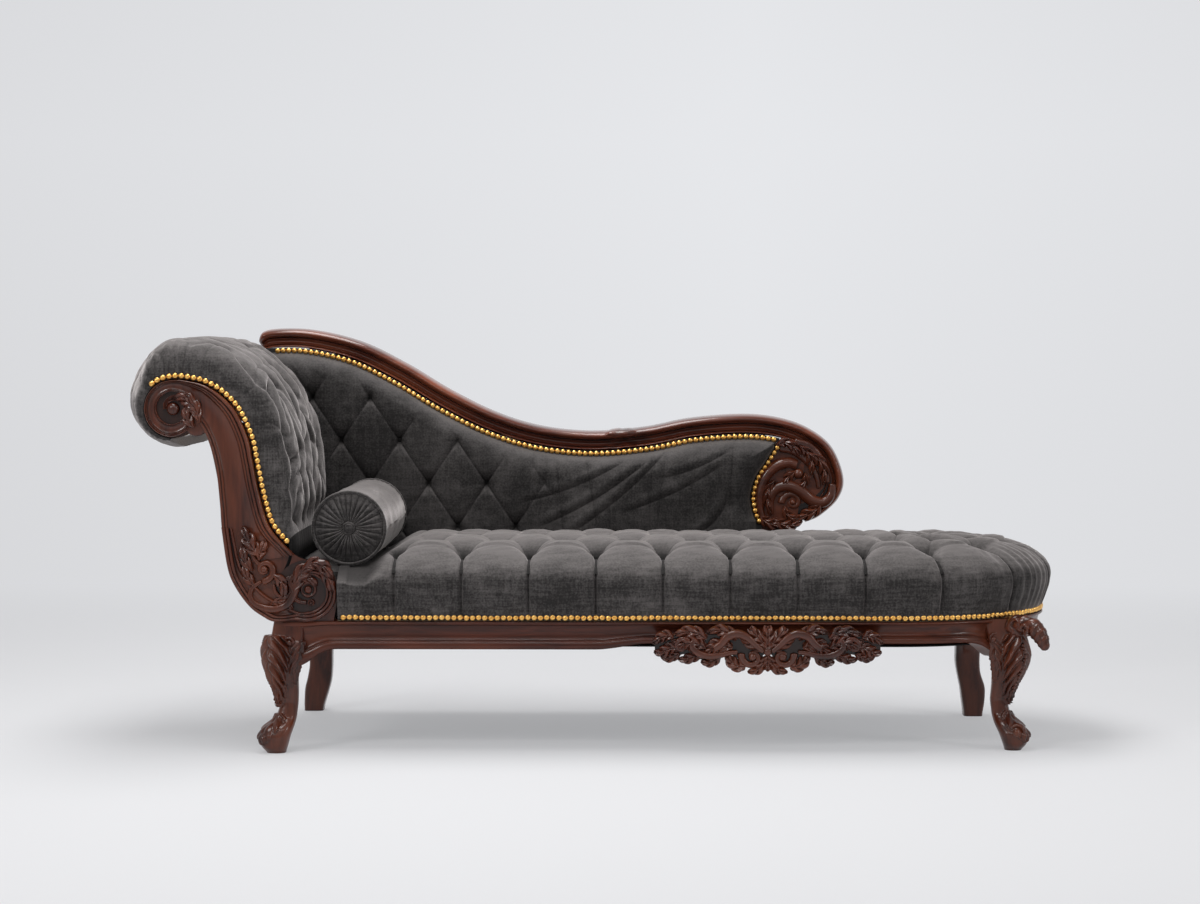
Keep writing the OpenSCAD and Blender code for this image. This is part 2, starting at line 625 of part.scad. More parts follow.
// Bottom of the seat: woven webbing, linen over it, and a dust cloth under the frame
module seat_inside(grow) {
    x0 = lower_x + lower_volute + 2 * fit;
    difference() {
        union() {
            translate([x0, -half_width - grow])
                square([foot_x - x0, 2 * (half_width + grow)]);
            translate([foot_x, 0])
                circle(r = half_width + grow, $fn = 96);
        }
        translate([head_leg_x, frame_front - 2 * fit])
            square([scroll_edge[len(scroll_edge) - 1][0] + back_upright * 2 - head_leg_x, 2 * half_width]);
    }
}
module seat_webbing() {
    band = web_thick * 25;
    pitch = band * 2;
    color(linen)
        translate([0, 0, rail_top])
            linear_extrude(web_thick)
                intersection() {
                    seat_inside(-rail_thick * 0.2);
                    union() {
                        for (x = [lower_x + lower_volute + band:pitch:foot_x + rail_inner])
                            translate([x, -half_width])
                                square([band, 2 * half_width]);
                        for (y = [-2.5, -1.5, -0.5, 0.5, 1.5])
                            translate([lower_x, y * pitch + band / 2])
                                square([couch_length, band]);
                    }
                }
}
module seat_hessian() {
    color(linen)
        translate([0, 0, rail_top + web_thick])
            linear_extrude(cloth_thick)
                seat_inside(-rail_hollow / 2);
}
module dust_cover() {
    x0 = head_leg_x - front_block / 2 + rail_hollow + rail_thick + fit;
    r = rail_inner - fit;
    color(black_cloth)
        translate([0, 0, leg_height + cloth_thick])
            linear_extrude(panel_thick - fit)
                difference() {
                    union() {
                        translate([x0, -r])
                            square([foot_x - x0, 2 * r]);
                        translate([foot_x, 0])
                            circle(r = r, $fn = 96);
                    }
                    for (s = [-1, 1])
                        translate([x0 - cut, s * (r - front_block / 4) - front_block / 2])
                            square([front_block / 2, front_block]);
                }
}

// Tufting: a button pulls each crossing of two crease lines down, with a soft pad between four of them
// i and k count grid steps along and across, four steps to a pitch
function from_crease(n) = let (m = ((n % 4) + 4) % 4) min(m, 4 - m) / 2;
crease_share = 0.26;
function tufted(i, k) = let (a = from_crease(i + k), b = from_crease(i - k))
    (1 - crease_share) * (1 - a) * (1 - b) + crease_share * (1 - min(a, b));

// Seat cushion: stations run along the front, round the foot and back along the rear
step_x = tuft_pitch / 4;
round_steps = 24;
tongue_x = head_right[2][0] + web_thick * 4;
notch_x = lower_x + lower_volute + 2 * fit;
straight_steps = floor((foot_x - notch_x - fit) / step_x);
front_xs = concat([tongue_x, mix(tongue_x, notch_x, 0.5), notch_x, notch_x + cut],
    [for (k = [straight_steps:-1:1]) foot_x - k * step_x]);
straight_count = len(front_xs);
front_half = half_width + seat_bulge;
tongue_half = -inside_front - fit;
back_edge_half = back_front - back_pad - 4;
scroll_x = scroll_edge[len(scroll_edge) - 1][0];
function rear_half(x) = x < scroll_x - step_x / 2 ? back_edge_half :
    x < scroll_x + back_upright * 1.7 + step_x ? back_front - crest_width * 0.2 : front_half;
// Each station is [x, direction, half width, grid step, front or rear]
stations = concat(
    [for (i = [0:straight_count - 1]) [front_xs[i], -90, i < 3 ? tongue_half : front_half, straight_count - i]],
    [for (a = [0:round_steps]) [foot_x, -90 + 180 * a / round_steps, front_half, -a]],
    [for (i = [straight_count - 1:-1:0]) [front_xs[i], 90, rear_half(front_xs[i]), straight_count - i]]);
bolster_x = lower_x + bolster_radius * 1.08;
bolster_sink = seat_height * 0.116;
bolster_z = seat_height - bolster_sink + bolster_radius;
trough = bolster_z - bolster_radius - fit;
function seat_cap(x) = let (d = abs(x - bolster_x))
    min(x < notch_x + fit ? trough + bolster_sink * 0.3 : couch_length,
        trough + max(0, d - bolster_radius * 0.45) * 0.8);
// Rows up the wall: how far in as a share of the bulge, how high as a share of the cushion
wall_shares = [[1, 0], [1, 0.08], [0.25, 0.33], [0, 0.6], [0.6, 0.82], [2.2, 0.93]];
// Rows over the top, as shares of the half width
top_shares = [0.72, 0.58, 0.443, 0.306, 0.168];
seat_rows = len(wall_shares) + len(top_shares);
function seat_point(s, j) =
    let (st = stations[s], wall = j < len(wall_shares), q = wall ? wall_shares[j] : [0, 1],
        open = round_off((st[0] - notch_x) / (seat_bulge * 3) + (st[2] == tongue_half ? 1 : 0.4)),
        step = st[3] + 2, pleat = abs(((step % 4) + 4) % 4) == 0 ? 1 : 0,
        share = wall ? 0 : top_shares[j - len(wall_shares)],
        crown = (seat_height - deck) * (1 - 0.035 * share * share),
        dip = wall ? 0 : seat_tuft * tufted(st[3], j - len(wall_shares) + 2) * (st[0] < notch_x + 2 * cut ? 0 : 1)
            * (st[0] == foot_x && share < 0.4 ? 0 : 1),
        r = wall ? st[2] - seat_bulge * (q[0] + (j > 1 ? 0.3 * pleat + 1 - open : 0)) : st[2] * share,
        z = wall ? deck + (seat_height - deck) * q[1] * mix(0.86, 1, j > 3 ? open : 1) - (j > 4 ? seat_tuft * 0.2 * pleat : 0)
            : deck + crown - dip)
    [st[0] + r * cos(st[1]), r * sin(st[1]), min(z, seat_cap(st[0]) - (wall ? (seat_rows - j) * fit : 0))];
function spine_index(s) = s < straight_count ? s : s <= straight_count + round_steps ? straight_count
    : len(stations) - 1 - s;
function spine_height(i) = i == straight_count ? seat_height
    : min(seat_cap(front_xs[i]), seat_height - (i < 4 ? 0 : seat_tuft * tufted(straight_count - i, 7)));
module seat_cushion() {
    n = seat_rows;
    m = len(stations);
    base = m * n;
    points = concat([for (s = [0:m - 1], j = [0:n - 1]) seat_point(s, j)],
        [for (i = [0:straight_count]) [i == straight_count ? foot_x : front_xs[i], 0, spine_height(i)]],
        [for (i = [0:straight_count]) [i == straight_count ? foot_x : front_xs[i], 0, deck]]);
    walls = [for (s = [0:m - 2], j = [0:n - 2]) let (a = s * n + j)
        each [[a, a + 1, a + n + 1], [a, a + n + 1, a + n]]];
    crown = [for (s = [0:m - 2]) let (a = s * n + n - 1, p = base + spine_index(s), q = base + spine_index(s + 1))
        each p == q ? [[a, p, a + n]] : [[a, p, q], [a, q, a + n]]];
    count = straight_count + 1;
    bottom = [for (s = [0:m - 2])
        let (a = s * n, p = base + count + spine_index(s), q = base + count + spine_index(s + 1))
        each p == q ? [[a, a + n, p]] : [[a, q, p], [a, a + n, q]]];
    low = base + count;
    rear = (m - 1) * n;
    end = concat([for (j = [0:n - 2]) each [[low, j + 1, j], [low, rear + j, rear + j + 1]]],
        [[low, base, n - 1], [low, rear + n - 1, base]]);
    color(velvet)
        polyhedron(points, concat(walls, crown, bottom, end), convexity = 10);
}

// Head cushion: the line of the scroll's edge, padded outwards and carried across the couch
pad_front = -half_width + piping / 2;
pad_rear = back_front - fit;
nail_strip = nail_width + fit;
// Columns near each end: how far in, and how full, as shares of the padding
edge_columns = [[0, 0], [0.05, 0.4], [0.24, 0.76], [0.6, 0.96]];
pad_columns = 18;
function pad_column(c) = let (last = 2 * len(edge_columns) + pad_columns, d = min(c, last - c), e = len(edge_columns),
    q = d < e ? edge_columns[d] : [0.9, 1], inner = head_pad * 0.9)
    [d < e ? (c < e ? pad_front + head_pad * q[0] : pad_rear - head_pad * q[0])
        : mix(pad_front + inner, pad_rear - inner, (c - e) / pad_columns), q[1]];
head_columns = 2 * len(edge_columns) + pad_columns + 1;
function pad_point(i, c) =
    let (q = pad_column(c), n = normal(head_path, i), full = pad_at(i),
        dip = wall_tuft * tufted(i, c - len(edge_columns) + 2) * (q[1] < 1 || i < 3 || i > len(head_path) - 4 ? 0 : 1),
        d = max(web_thick + 2 * fit + 1, min(full, max(nail_strip, full * q[1])) - dip),
        p = head_path[i] - n * d)
    [p[0], q[0], p[1]];
module head_cushion() {
    m = len(head_path);
    n = head_columns;
    base = m * n;
    inside = web_thick + fit;
    points = concat([for (i = [0:m - 1], c = [0:n - 1]) pad_point(i, c)],
        [for (i = [0:m - 1], y = [pad_rear, pad_front]) let (p = head_path[i] - normal(head_path, i) * inside) [p[0], y, p[1]]]);
    faces = concat(
        [for (i = [0:m - 2], c = [0:n - 2]) let (a = i * n + c) each [[a, a + n, a + n + 1], [a, a + n + 1, a + 1]]],
        [for (i = [0:m - 2]) let (a = i * n + n - 1, b = base + 2 * i) each [[a, a + n, b + 2], [a, b + 2, b]]],
        [for (i = [0:m - 2]) let (b = base + 2 * i) each [[b, b + 2, b + 3], [b, b + 3, b + 1]]],
        [for (i = [0:m - 2]) let (a = i * n, b = base + 2 * i + 1) each [[b, b + 2, a + n], [b, a + n, a]]],
        [for (c = [0:n - 2]) [base + 1, c, c + 1]],
        [[base + 1, n - 1, base]],
        [for (c = [0:n - 2]) [base + 2 * m - 1, (m - 1) * n + c + 1, (m - 1) * n + c]],
        [[base + 2 * m - 1, base + 2 * m - 2, m * n - 1]]);
    color(velvet)
        polyhedron(points, faces, convexity = 10);
}

// Back cushion: a grid between the head padding, the crest, the scroll and the seat
back_step = tuft_pitch * 0.238;
back_rise = tuft_pitch * 0.352;
back_x0 = upper_x + head_run * 0.447;
back_low = rail_top + back_upright;
back_z0 = back_low + back_rise * 0.46;
pile = 3;
scroll_strip = nail_strip * 1.25;
crest_strip = nail_strip * 1.55;
back_columns = ceil((scroll_edge[0][0] - back_x0) / back_step);
back_rows = ceil((back_height - back_z0) / back_rise) + 1;
left_line = [for (i = [0:16]) let (p = pad_outer_local[i]) [p[1] + upper_z, p[0] + upper_x + 5 * fit]];
right_line = [for (p = reversed(scroll_edge)) [p[1], p[0] - fit]];
function back_top(i) = under_crest(back_x0 + i * back_step) - fit;
function back_z(i, j) = j == back_rows ? back_top(i)
    : j == back_rows - 1 ? back_top(i) - crest_strip
    : j == 0 ? back_low : min(back_z0 + j * back_rise, back_top(i) - crest_strip - (back_rows - 1 - j) * pile);
function back_x(i, z) = let (left = lookup(z, left_line), right = lookup(z, right_line))
    i == back_columns ? right
    : i == back_columns - 1 ? right - scroll_strip
    : clamp(back_x0 + i * back_step, left + i * pile, right - scroll_strip - (back_columns - 1 - i) * pile);
function back_point(i, j) =
    let (z = back_z(i, j), x = back_x(i, z), left = lookup(z, left_line), right = lookup(z, right_line),
        edge = min(back_top(i) - crest_strip - z, right - scroll_strip - x, x - left + pile, z - back_low + back_pad),
        full = round_off(edge / back_pad), there = 1 - ease((x + couch_length * 0.1) / tuft_pitch),
        dip = wall_tuft * tufted(i + 1, j) * full * there)
    [x, back_front - 4 - (back_pad - 4) * full + dip, z];
module back_cushion() {
    n = back_rows + 1;
    m = back_columns + 1;
    loop = concat([for (i = [0:m - 1]) i * n], [for (j = [1:n - 1]) (m - 1) * n + j],
        [for (i = [m - 2:-1:0]) i * n + n - 1], [for (j = [n - 2:-1:1]) j]);
    points = [for (i = [0:m - 1], j = [0:n - 1]) back_point(i, j)];
    rear = [for (p = points) [p[0], back_front, p[2]]];
    w = len(loop);
    faces = concat(
        [for (i = [0:m - 2], j = [0:n - 2]) let (a = i * n + j) each [[a, a + 1, a + n + 1], [a, a + n + 1, a + n]]],
        [for (i = [0:m - 2], j = [0:n - 2]) let (a = m * n + i * n + j) each [[a, a + n + 1, a + 1], [a, a + n, a + n + 1]]],
        [for (q = [0:w - 1]) let (a = loop[q], b = loop[(q + 1) % w]) each [[a, b, b + m * n], [a, b + m * n, a + m * n]]]);
    color(velvet)
        polyhedron(concat(points, rear), faces, convexity = 10);
}

// Covered buttons, each at the bottom of a tuft
module button(lift) {
    r = button_radius;
    translate([0, 0, lift])
        cylinder(h = r * 0.45, r1 = r, r2 = r * 0.6, $fn = 24);
}
// How steeply the cloth rises from a tuft to its neighbours, and the height at which a button rests on that slope
function slope_to(p, q, n) = let (v = q - p, h = v * n) h / max(norm(v - n * h), fit);
function rest_height(p, ways, n) = fit + button_radius
    * norm([for (way = ways) max([for (q = way) max(0, slope_to(p, q, n))])]);
module seat_buttons() {
    top = len(wall_shares);
    color(velvet)
        for (s = [0:len(stations) - 1], j = [top, top + 2, top + 4])
            let (st = stations[s], step = st[3] + (j - top) + 2, p = seat_point(s, j))
            if (step % 4 == 0 && st[0] > bolster_x + bolster_radius + button_radius
                && !(st[0] == foot_x && j > top + 2) && !(st[2] < front_half && p[1] > back_edge_half * 0.9))
                translate(p)
                    button((p[1] > 0 && p[0] < foot_x && p[0] > foot_x - 2.5 * tuft_pitch ? 5 * fit : fit / 2)
                        + rest_height(p, [[seat_point(s - 1, j), seat_point(s + 1, j)],
                        [seat_point(s, j - 1), seat_point(s, min(j + 1, seat_rows - 1))]], [0, 0, 1]));
}
module head_buttons() {
    e = len(edge_columns);
    color(velvet)
        for (i = [4:2:len(head_path) - 7], c = [e:e + pad_columns])
            if ((i + c - e + 2) % 4 == 0 && (c - e) % 2 == 0 && pad_point(i, c)[0] < bolster_x)
                let (n = -normal(head_path, i), p = pad_point(i, c))
                translate(p)
                    rotate([0, atan2(n[0], n[1]), 0])
                        button(rest_height(p, [[pad_point(i - 1, c), pad_point(i + 1, c)],
                            [pad_point(i, c - 1), pad_point(i, c + 1)]], [n[0], 0, n[1]]));
}
module back_buttons() {
    color(velvet)
        for (i = [1:back_columns - 2], j = [2:back_rows - 3])
            let (p = back_point(i, j))
            if ((i + 1 + j) % 4 == 0 && (i + 1 - j) % 4 == 0 && p[2] > back_z0 + back_rise * (j - 0.01)
                && p[2] > seat_height && p[0] < -couch_length * 0.08
                && p[0] > lookup(p[2], left_line) + back_step * 0.8)
                translate(p)
                    rotate([90, 0, 0])
                        button(rest_height(p, [[back_point(i - 1, j), back_point(i + 1, j)],
                            [back_point(i, j - 1), back_point(i, j + 1)]], [0, -1, 0]));
}

// Brass nails: low domes set along the edges of the cloth
module nail() {
    r = nail_width / 2;
    cylinder(h = r * 0.5, r1 = r, r2 = r * 0.55, $fn = 24);
}
module nails_facing_front(path, y) {
    runs = run_of(path);
    count = floor(runs[len(runs) - 1] / nail_pitch);
    for (i = [0:count])
        let (p = along(path, runs, i * nail_pitch))
        translate([p[0], y, p[1]])
            rotate([90, 0, 0])
                nail();
}
module seat_nails() {
    x0 = notch_x + nail_width;
    straight = foot_x - x0;
    round = PI * half_width;
    rear = foot_x - scroll_x - back_upright * 1.7 - 2 * step_x;
    r = half_width + fit / 2;
    z = rail_top + nail_width * 0.82;
    color(brass)
        for (s = [0:nail_pitch:straight + round + rear])
            let (a = clamp((s - straight) / round) * 180 - 90, x = s < straight ? x0 + s
                : foot_x - max(0, s - straight - round))
            translate([x + r * cos(a), r * sin(a), z])
                rotate([0, 90, a])
                    nail();
}
module head_nails() {
    path = [for (i = [3:20]) head_path[i] - normal(head_path, i) * (nail_width / 2 + web_thick + 2 * fit)];
    color(brass)
        nails_facing_front(path, pad_front - fit / 2);
}
module back_nails() {
    path = [for (i = [4:crest_top_index - 3]) crest_inner[i] - normal(crest_inner, i) * (nail_width / 2 + fit)];
    color(brass)
        nails_facing_front(path, back_front - 4 - fit / 2);
}
module scroll_nails() {
    path = [for (i = [1:len(scroll_edge) - 1]) scroll_edge[i] - [nail_width / 2 + fit, 0]];
    color(brass)
        nails_facing_front(path, back_front - 4 - fit / 2);
}

// Bolster: rings round its own axis, with pleated ends gathered to a button
bolster_y = -half_width + scroll_thick + 2 * fit;
pleats = 18;
// How far in from the end and how wide, as shares of the radius, and how deep the pleats are there
bolster_shares = [[0.08, 0.04, 0], [0.08, 0.17, 0], [0.03, 0.24, 0.02], [-0.02, 0.45, 0.03], [-0.03, 0.7, 0.025],
    [0, 0.9, 0]];
function bolster_ring(r, y, ripple) = [for (k = [0:2 * pleats - 1])
    [bolster_x + r * cos(k * 180 / pleats), y + (k % 2) * ripple, bolster_z + r * sin(k * 180 / pleats)]];
module bolster_pillow() {
    r = bolster_radius;
    inner = r - piping - 2 * fit;
    far = bolster_y + bolster_length;
    near_rings = [for (q = bolster_shares) bolster_ring(min(q[1] * r, inner), bolster_y + q[0] * r, q[2] * r)];
    far_rings = [for (q = reversed(bolster_shares)) bolster_ring(min(q[1] * r, inner), far - q[0] * r, -q[2] * r)];
    color(velvet)
        loft(reversed(concat(near_rings,
            [bolster_ring(inner, bolster_y + piping + fit, 0), bolster_ring(r - 2 * fit, bolster_y + piping + 2 * fit, 0)],
            [bolster_ring(r, bolster_y + bolster_length * 0.25, 0), bolster_ring(r, far - bolster_length * 0.25, 0)],
            [bolster_ring(r - 2 * fit, far - piping - 2 * fit, 0), bolster_ring(inner, far - piping - fit, 0)],
            far_rings)));
}
module bolster_piping() {
    color(velvet)
        for (y = [bolster_y + piping / 2, bolster_y + bolster_length - piping / 2])
            translate([bolster_x, y, bolster_z])
                rotate([90, 0, 0])
                    rotate_extrude($fn = 96)
                        translate([bolster_radius - piping / 2 - fit, 0])
                            circle(d = piping, $fn = 24);
}
module bolster_buttons() {
    r = bolster_radius * 0.15;
    color(velvet)
        for (side = [0, 1])
            translate([bolster_x, bolster_y + side * bolster_length, bolster_z])
                rotate([side == 0 ? 90 : -90, 0, 0])
                    translate([0, 0, -bolster_radius * 0.08 + fit])
                        rotate_extrude($fn = 32)
                            polygon([[0, 0], [r, 0], [r, r * 0.3], [r * 0.6, r * 0.55], [0, r * 0.65]]);
}

front_seat_rail();
foot_rail_front();
foot_rail_end();
foot_rail_rear();
rear_seat_rail();
head_seat_rail();
middle_cross_rail();
foot_cross_rail();
corner_blocks();
head_front_leg();
foot_front_leg();
head_rear_leg();
foot_rear_leg();
apron_carving();
front_head_scroll();
rear_head_post();
head_roll_bar();
head_slats();
crest_rail();
crest_collar();
back_foot_scroll();
back_bottom_rail();
back_head_stile();
back_middle_stile();
back_foot_stile();
back_scroll_stile();
seat_webbing();
seat_hessian();
dust_cover();
head_hessian();
back_hessian();
outside_head_panel();
outside_back_panel();
seat_cushion();
head_cushion();
back_cushion();
seat_buttons();
head_buttons();
back_buttons();
seat_nails();
head_nails();
back_nails();
scroll_nails();
bolster_pillow();
bolster_piping();
bolster_buttons();
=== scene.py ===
import math
import bpy
import numpy as np
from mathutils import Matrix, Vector


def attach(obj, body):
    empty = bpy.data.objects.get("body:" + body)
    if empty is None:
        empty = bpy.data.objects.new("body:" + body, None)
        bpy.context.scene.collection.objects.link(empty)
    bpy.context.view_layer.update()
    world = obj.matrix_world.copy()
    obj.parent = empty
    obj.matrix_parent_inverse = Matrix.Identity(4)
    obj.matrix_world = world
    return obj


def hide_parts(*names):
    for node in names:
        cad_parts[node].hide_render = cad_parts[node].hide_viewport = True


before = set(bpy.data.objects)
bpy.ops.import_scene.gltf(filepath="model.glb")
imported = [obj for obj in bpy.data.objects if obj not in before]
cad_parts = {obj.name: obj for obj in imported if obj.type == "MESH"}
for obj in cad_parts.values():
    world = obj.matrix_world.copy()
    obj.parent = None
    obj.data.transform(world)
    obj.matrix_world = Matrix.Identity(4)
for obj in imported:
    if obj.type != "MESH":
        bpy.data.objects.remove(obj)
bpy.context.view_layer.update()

chance = np.random.default_rng(11)
pi = math.pi

# the couch's own measures, in millimetres, in the frame's axes
couch = {
    "halfWidth": 328.0,     # seat frame, front to rear, halved
    "footX": 615.0,         # where the round foot starts
    "legHeight": 209.0,
    "railTop": 264.0,
    "headRun": 266.0,
    "headRise": 366.0,
    "upperX": -840.08,      # middle of the head's upper volute
    "upperZ": 692.0,
    "upperR": 58.0,
    "lowerR": 62.0,
    "headPad": 72.0,
    "backFront": 280.6,     # plane of the back's frame, seen from the seat
    "backRear": 328.6,
    "backLeft": -766.6,
    "backLength": 1316.0,
    "backHeight": 854.0,
    "crestWidth": 44.0,
    "crestThick": 48.0,
}
lowerX = couch["upperX"] + couch["headRun"]
lowerZ = couch["railTop"] + couch["lowerR"]
bolsterX = lowerX + 81.0


# lines

def sampled(values, at, places):
    # the columns of values, known at some places, read at others
    return np.stack([np.interp(places, at, values[:, k]) for k in range(values.shape[1])], 1)


def smoothLine(knots, steps):
    # Catmull-Rom curve through the knots, with so many points from one knot to the next
    k = np.asarray(knots, float)
    count = len(k)
    k = np.vstack([2 * k[0] - k[1], k, 2 * k[-1] - k[-2]])
    t = np.linspace(0, count - 1, (count - 1) * steps + 1)
    i = np.minimum(t.astype(int), count - 2)
    f = (t - i)[:, None]
    a, b, c, d = k[i], k[i + 1], k[i + 2], k[i + 3]
    return b + 0.5 * f * (c - a + f * (2 * a - 5 * b + 4 * c - d + f * (3 * (b - c) + d - a)))


def lengthsOf(line):
    # distance along the line at each of its points
    return np.concatenate([[0], np.cumsum(np.linalg.norm(np.diff(line, axis=0), axis=1))])


def evenLine(line, spacing):
    # the same line with points at one spacing
    run = lengthsOf(line)
    count = max(2, int(round(run[-1] / spacing)) + 1)
    return sampled(line, run, np.linspace(0, run[-1], count))


def leftNormals(line):
    # unit normals on the left-hand side of a plane line
    d = np.gradient(line, axis=0)
    d /= np.maximum(np.linalg.norm(d, axis=1), 1e-9)[:, None]
    return np.stack([-d[:, 1], d[:, 0]], 1)


def spiralLine(centre, rStart, rEnd, aStart, aEnd, steps=40):
    t = np.linspace(0, 1, steps)
    a = np.radians(aStart + (aEnd - aStart) * t)
    r = rStart * (rEnd / rStart) ** t
    return np.stack([centre[0] + r * np.cos(a), centre[1] + r * np.sin(a)], 1)


def around(centre, angles, radii):
    # points about a centre, at these angles in degrees
    a = np.radians(list(angles))
    x, z = np.asarray(radii) * np.cos(a), np.asarray(radii) * np.sin(a)
    return list(np.stack([centre[0] + x, centre[1] + z], 1))


# shaping functions

def ease(t):
    t = np.clip(t, 0, 1)
    return t * t * (3 - 2 * t)


def hill(d, width, power=2):
    # a soft bump, 1 at d = 0 and near 0 past the width
    return np.exp(-(np.abs(d) / width) ** power)


def valley(d, width):
    # a sharp-bottomed fold, 1 at d = 0
    return np.exp(-np.abs(d) / width)


def bead(d, centre, r):
    # a half-round moulding at one distance from an edge
    return np.sqrt(np.clip(r * r - (d - centre) ** 2, 0, None))


def ripples(x, y, size, seed):
    # a sum of sine waves in random directions, about -1 to 1, for slow unevenness in cloth
    r = np.random.default_rng(seed)
    total = np.zeros(np.broadcast(x, y).shape)
    for k in range(7):
        a, w, p = r.uniform(0, 2 * pi), 2 * pi / size * r.uniform(0.6, 1.7), r.uniform(0, 2 * pi)
        total = total + np.sin((x * math.cos(a) + y * math.sin(a)) * w + p)
    return total / 3.5


# grids of points

def grid(a, b):
    return np.meshgrid(a, b, indexing="ij")


def turns(count):
    return np.linspace(0, 2 * pi, count, endpoint=False)


def xyz(x, y, z):
    return np.stack(np.broadcast_arrays(x, y, z), -1)


def pressed(points, y):
    # the same points, moved straight to one upright plane
    return points * (1, 0, 1) + np.array([0, y, 0])


def toMiddle(row):
    # a row of points and their middle, to close an end
    return np.stack([row, np.broadcast_to(row.mean(0), row.shape)], 0)


def patch(points, wrapU=False, wrapV=False, facing=None, hollow=0.0, uv=None, finish=0):
    # one grid of a piece: its points in millimetres, how it closes, the side that faces out, how deep it lies
    # in folds or carving (0 to 1), which the materials paint as shade, and which of the piece's materials it
    # has
    points = np.asarray(points, float)
    m, n = points.shape[:2]
    if uv is None:
        uv = np.stack(grid(np.arange(m) * 4.0, np.arange(n) * 4.0), -1)
    return {"points": points, "wrapU": wrapU, "wrapV": wrapV, "facing": facing,
            "hollow": np.broadcast_to(np.clip(hollow, 0, 1), (m, n)), "uv": uv, "finish": finish}


def gridFaces(m, n, wrapU, wrapV):
    i, j = grid(np.arange(m if wrapU else m - 1), np.arange(n if wrapV else n - 1))
    i2, j2 = (i + 1) % m, (j + 1) % n
    return np.stack([i * n + j, i2 * n + j, i2 * n + j2, i * n + j2], -1).reshape(-1, 4)


def facesOut(p, faces, facing):
    # turns the faces over where their summed normal, or their enclosed volume, points inwards
    a, b, c, d = (p[faces[:, k]] for k in range(4))
    n = np.cross(c - a, d - b)
    if facing is None:
        side = (n * ((a + b + c + d) / 4 - p.mean(0))).sum()
    else:
        side = (n * np.asarray(facing, float)).sum()
    return faces if side > 0 else faces[:, ::-1]


def pieceMesh(name, patches, materials):
    # all the patches in one mesh, in metres, without faces of no area
    verts, faces, finishes, start = [], [], [], 0
    for q in patches:
        m, n = q["points"].shape[:2]
        flat = q["points"].reshape(-1, 3)
        f = facesOut(flat, gridFaces(m, n, q["wrapU"], q["wrapV"]), q["facing"])
        verts.append(flat)
        faces.append(f + start)
        finishes.append(np.full(len(f), q["finish"]))
        start += m * n
    verts, faces, finishes = np.concatenate(verts) * 0.001, np.concatenate(faces), np.concatenate(finishes)
    a, b, c, d = (verts[faces[:, k]] for k in range(4))
    real = np.linalg.norm(np.cross(c - a, d - b), axis=1) > 1e-12
    faces, finishes = faces[real], finishes[real]
    mesh = bpy.data.meshes.new(name)
    mesh.vertices.add(len(verts))
    mesh.vertices.foreach_set("co", verts.ravel())
    mesh.loops.add(faces.size)
    mesh.loops.foreach_set("vertex_index", faces.ravel().astype(np.int32))
    mesh.polygons.add(len(faces))
    mesh.polygons.foreach_set("loop_start", np.arange(0, faces.size, 4, dtype=np.int32))
    mesh.update(calc_edges=True)
    for material in materials:
        mesh.materials.append(material)
    mesh.polygons.foreach_set("material_index", finishes.astype(np.int32))
    uvs = np.concatenate([q["uv"].reshape(-1, 2) for q in patches]) * 0.001
    mesh.uv_layers.new(name="cloth").data.foreach_set("uv", uvs[faces.ravel()].ravel())
    # the hollow attribute is the mask of painted shade in folds and carving
    hollows = np.concatenate([q["hollow"].reshape(-1) for q in patches])
    mesh.attributes.new("hollow", "FLOAT", "POINT").data.foreach_set("value", hollows.astype(np.float32))
    mesh.validate()
    mesh.polygons.foreach_set("use_smooth", np.full(len(mesh.polygons), True))
    return mesh


def makePiece(name, patches, *materials, body="couch", stands=(), slot="polished_wood", fill=None):
    obj = bpy.data.objects.new(name, pieceMesh(name, patches, materials))
    bpy.context.scene.collection.objects.link(obj)
    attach(obj, body)
    if stands:
        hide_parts(*stands)


# materials

def newMaterial(name):
    mat = bpy.data.materials.new(name)
    mat.use_nodes = True
    return mat, mat.node_tree, mat.node_tree.nodes["Principled BSDF"]


def noiseOn(nt, scale, detail, stretch=(1, 1, 1), rough=0.5, distort=0.0):
    # noise on the object's own coordinates, stretched along the axes
    coords = nt.nodes.new("ShaderNodeTexCoord")
    mapping = nt.nodes.new("ShaderNodeMapping")
    mapping.inputs["Scale"].default_value = stretch
    noise = nt.nodes.new("ShaderNodeTexNoise")
    for key, x in (("Scale", scale), ("Detail", detail), ("Roughness", rough), ("Distortion", distort)):
        noise.inputs[key].default_value = x
    nt.links.new(coords.outputs["Object"], mapping.inputs["Vector"])
    nt.links.new(mapping.outputs["Vector"], noise.inputs["Vector"])
    return noise.outputs["Fac"]


def remap(nt, value, low, high, toLow, toHigh):
    node = nt.nodes.new("ShaderNodeMapRange")
    for key, x in zip(("From Min", "From Max", "To Min", "To Max"), (low, high, toLow, toHigh)):
        node.inputs[key].default_value = x
    nt.links.new(value, node.inputs["Value"])
    return node.outputs["Result"]


def calc(nt, operation, a, b):
    node = nt.nodes.new("ShaderNodeMath")
    node.operation = operation
    for k, x in enumerate((a, b)):
        if isinstance(x, (int, float)):
            node.inputs[k].default_value = x
        else:
            nt.links.new(x, node.inputs[k])
    return node.outputs[0]


def blendColours(nt, factor, a, b):
    node = nt.nodes.new("ShaderNodeMix")
    node.data_type = "RGBA"
    for key, x in ((6, a), (7, b)):
        if isinstance(x, tuple):
            node.inputs[key].default_value = (*x, 1)
        else:
            nt.links.new(x, node.inputs[key])
    nt.links.new(factor, node.inputs[0])
    return node.outputs[2]


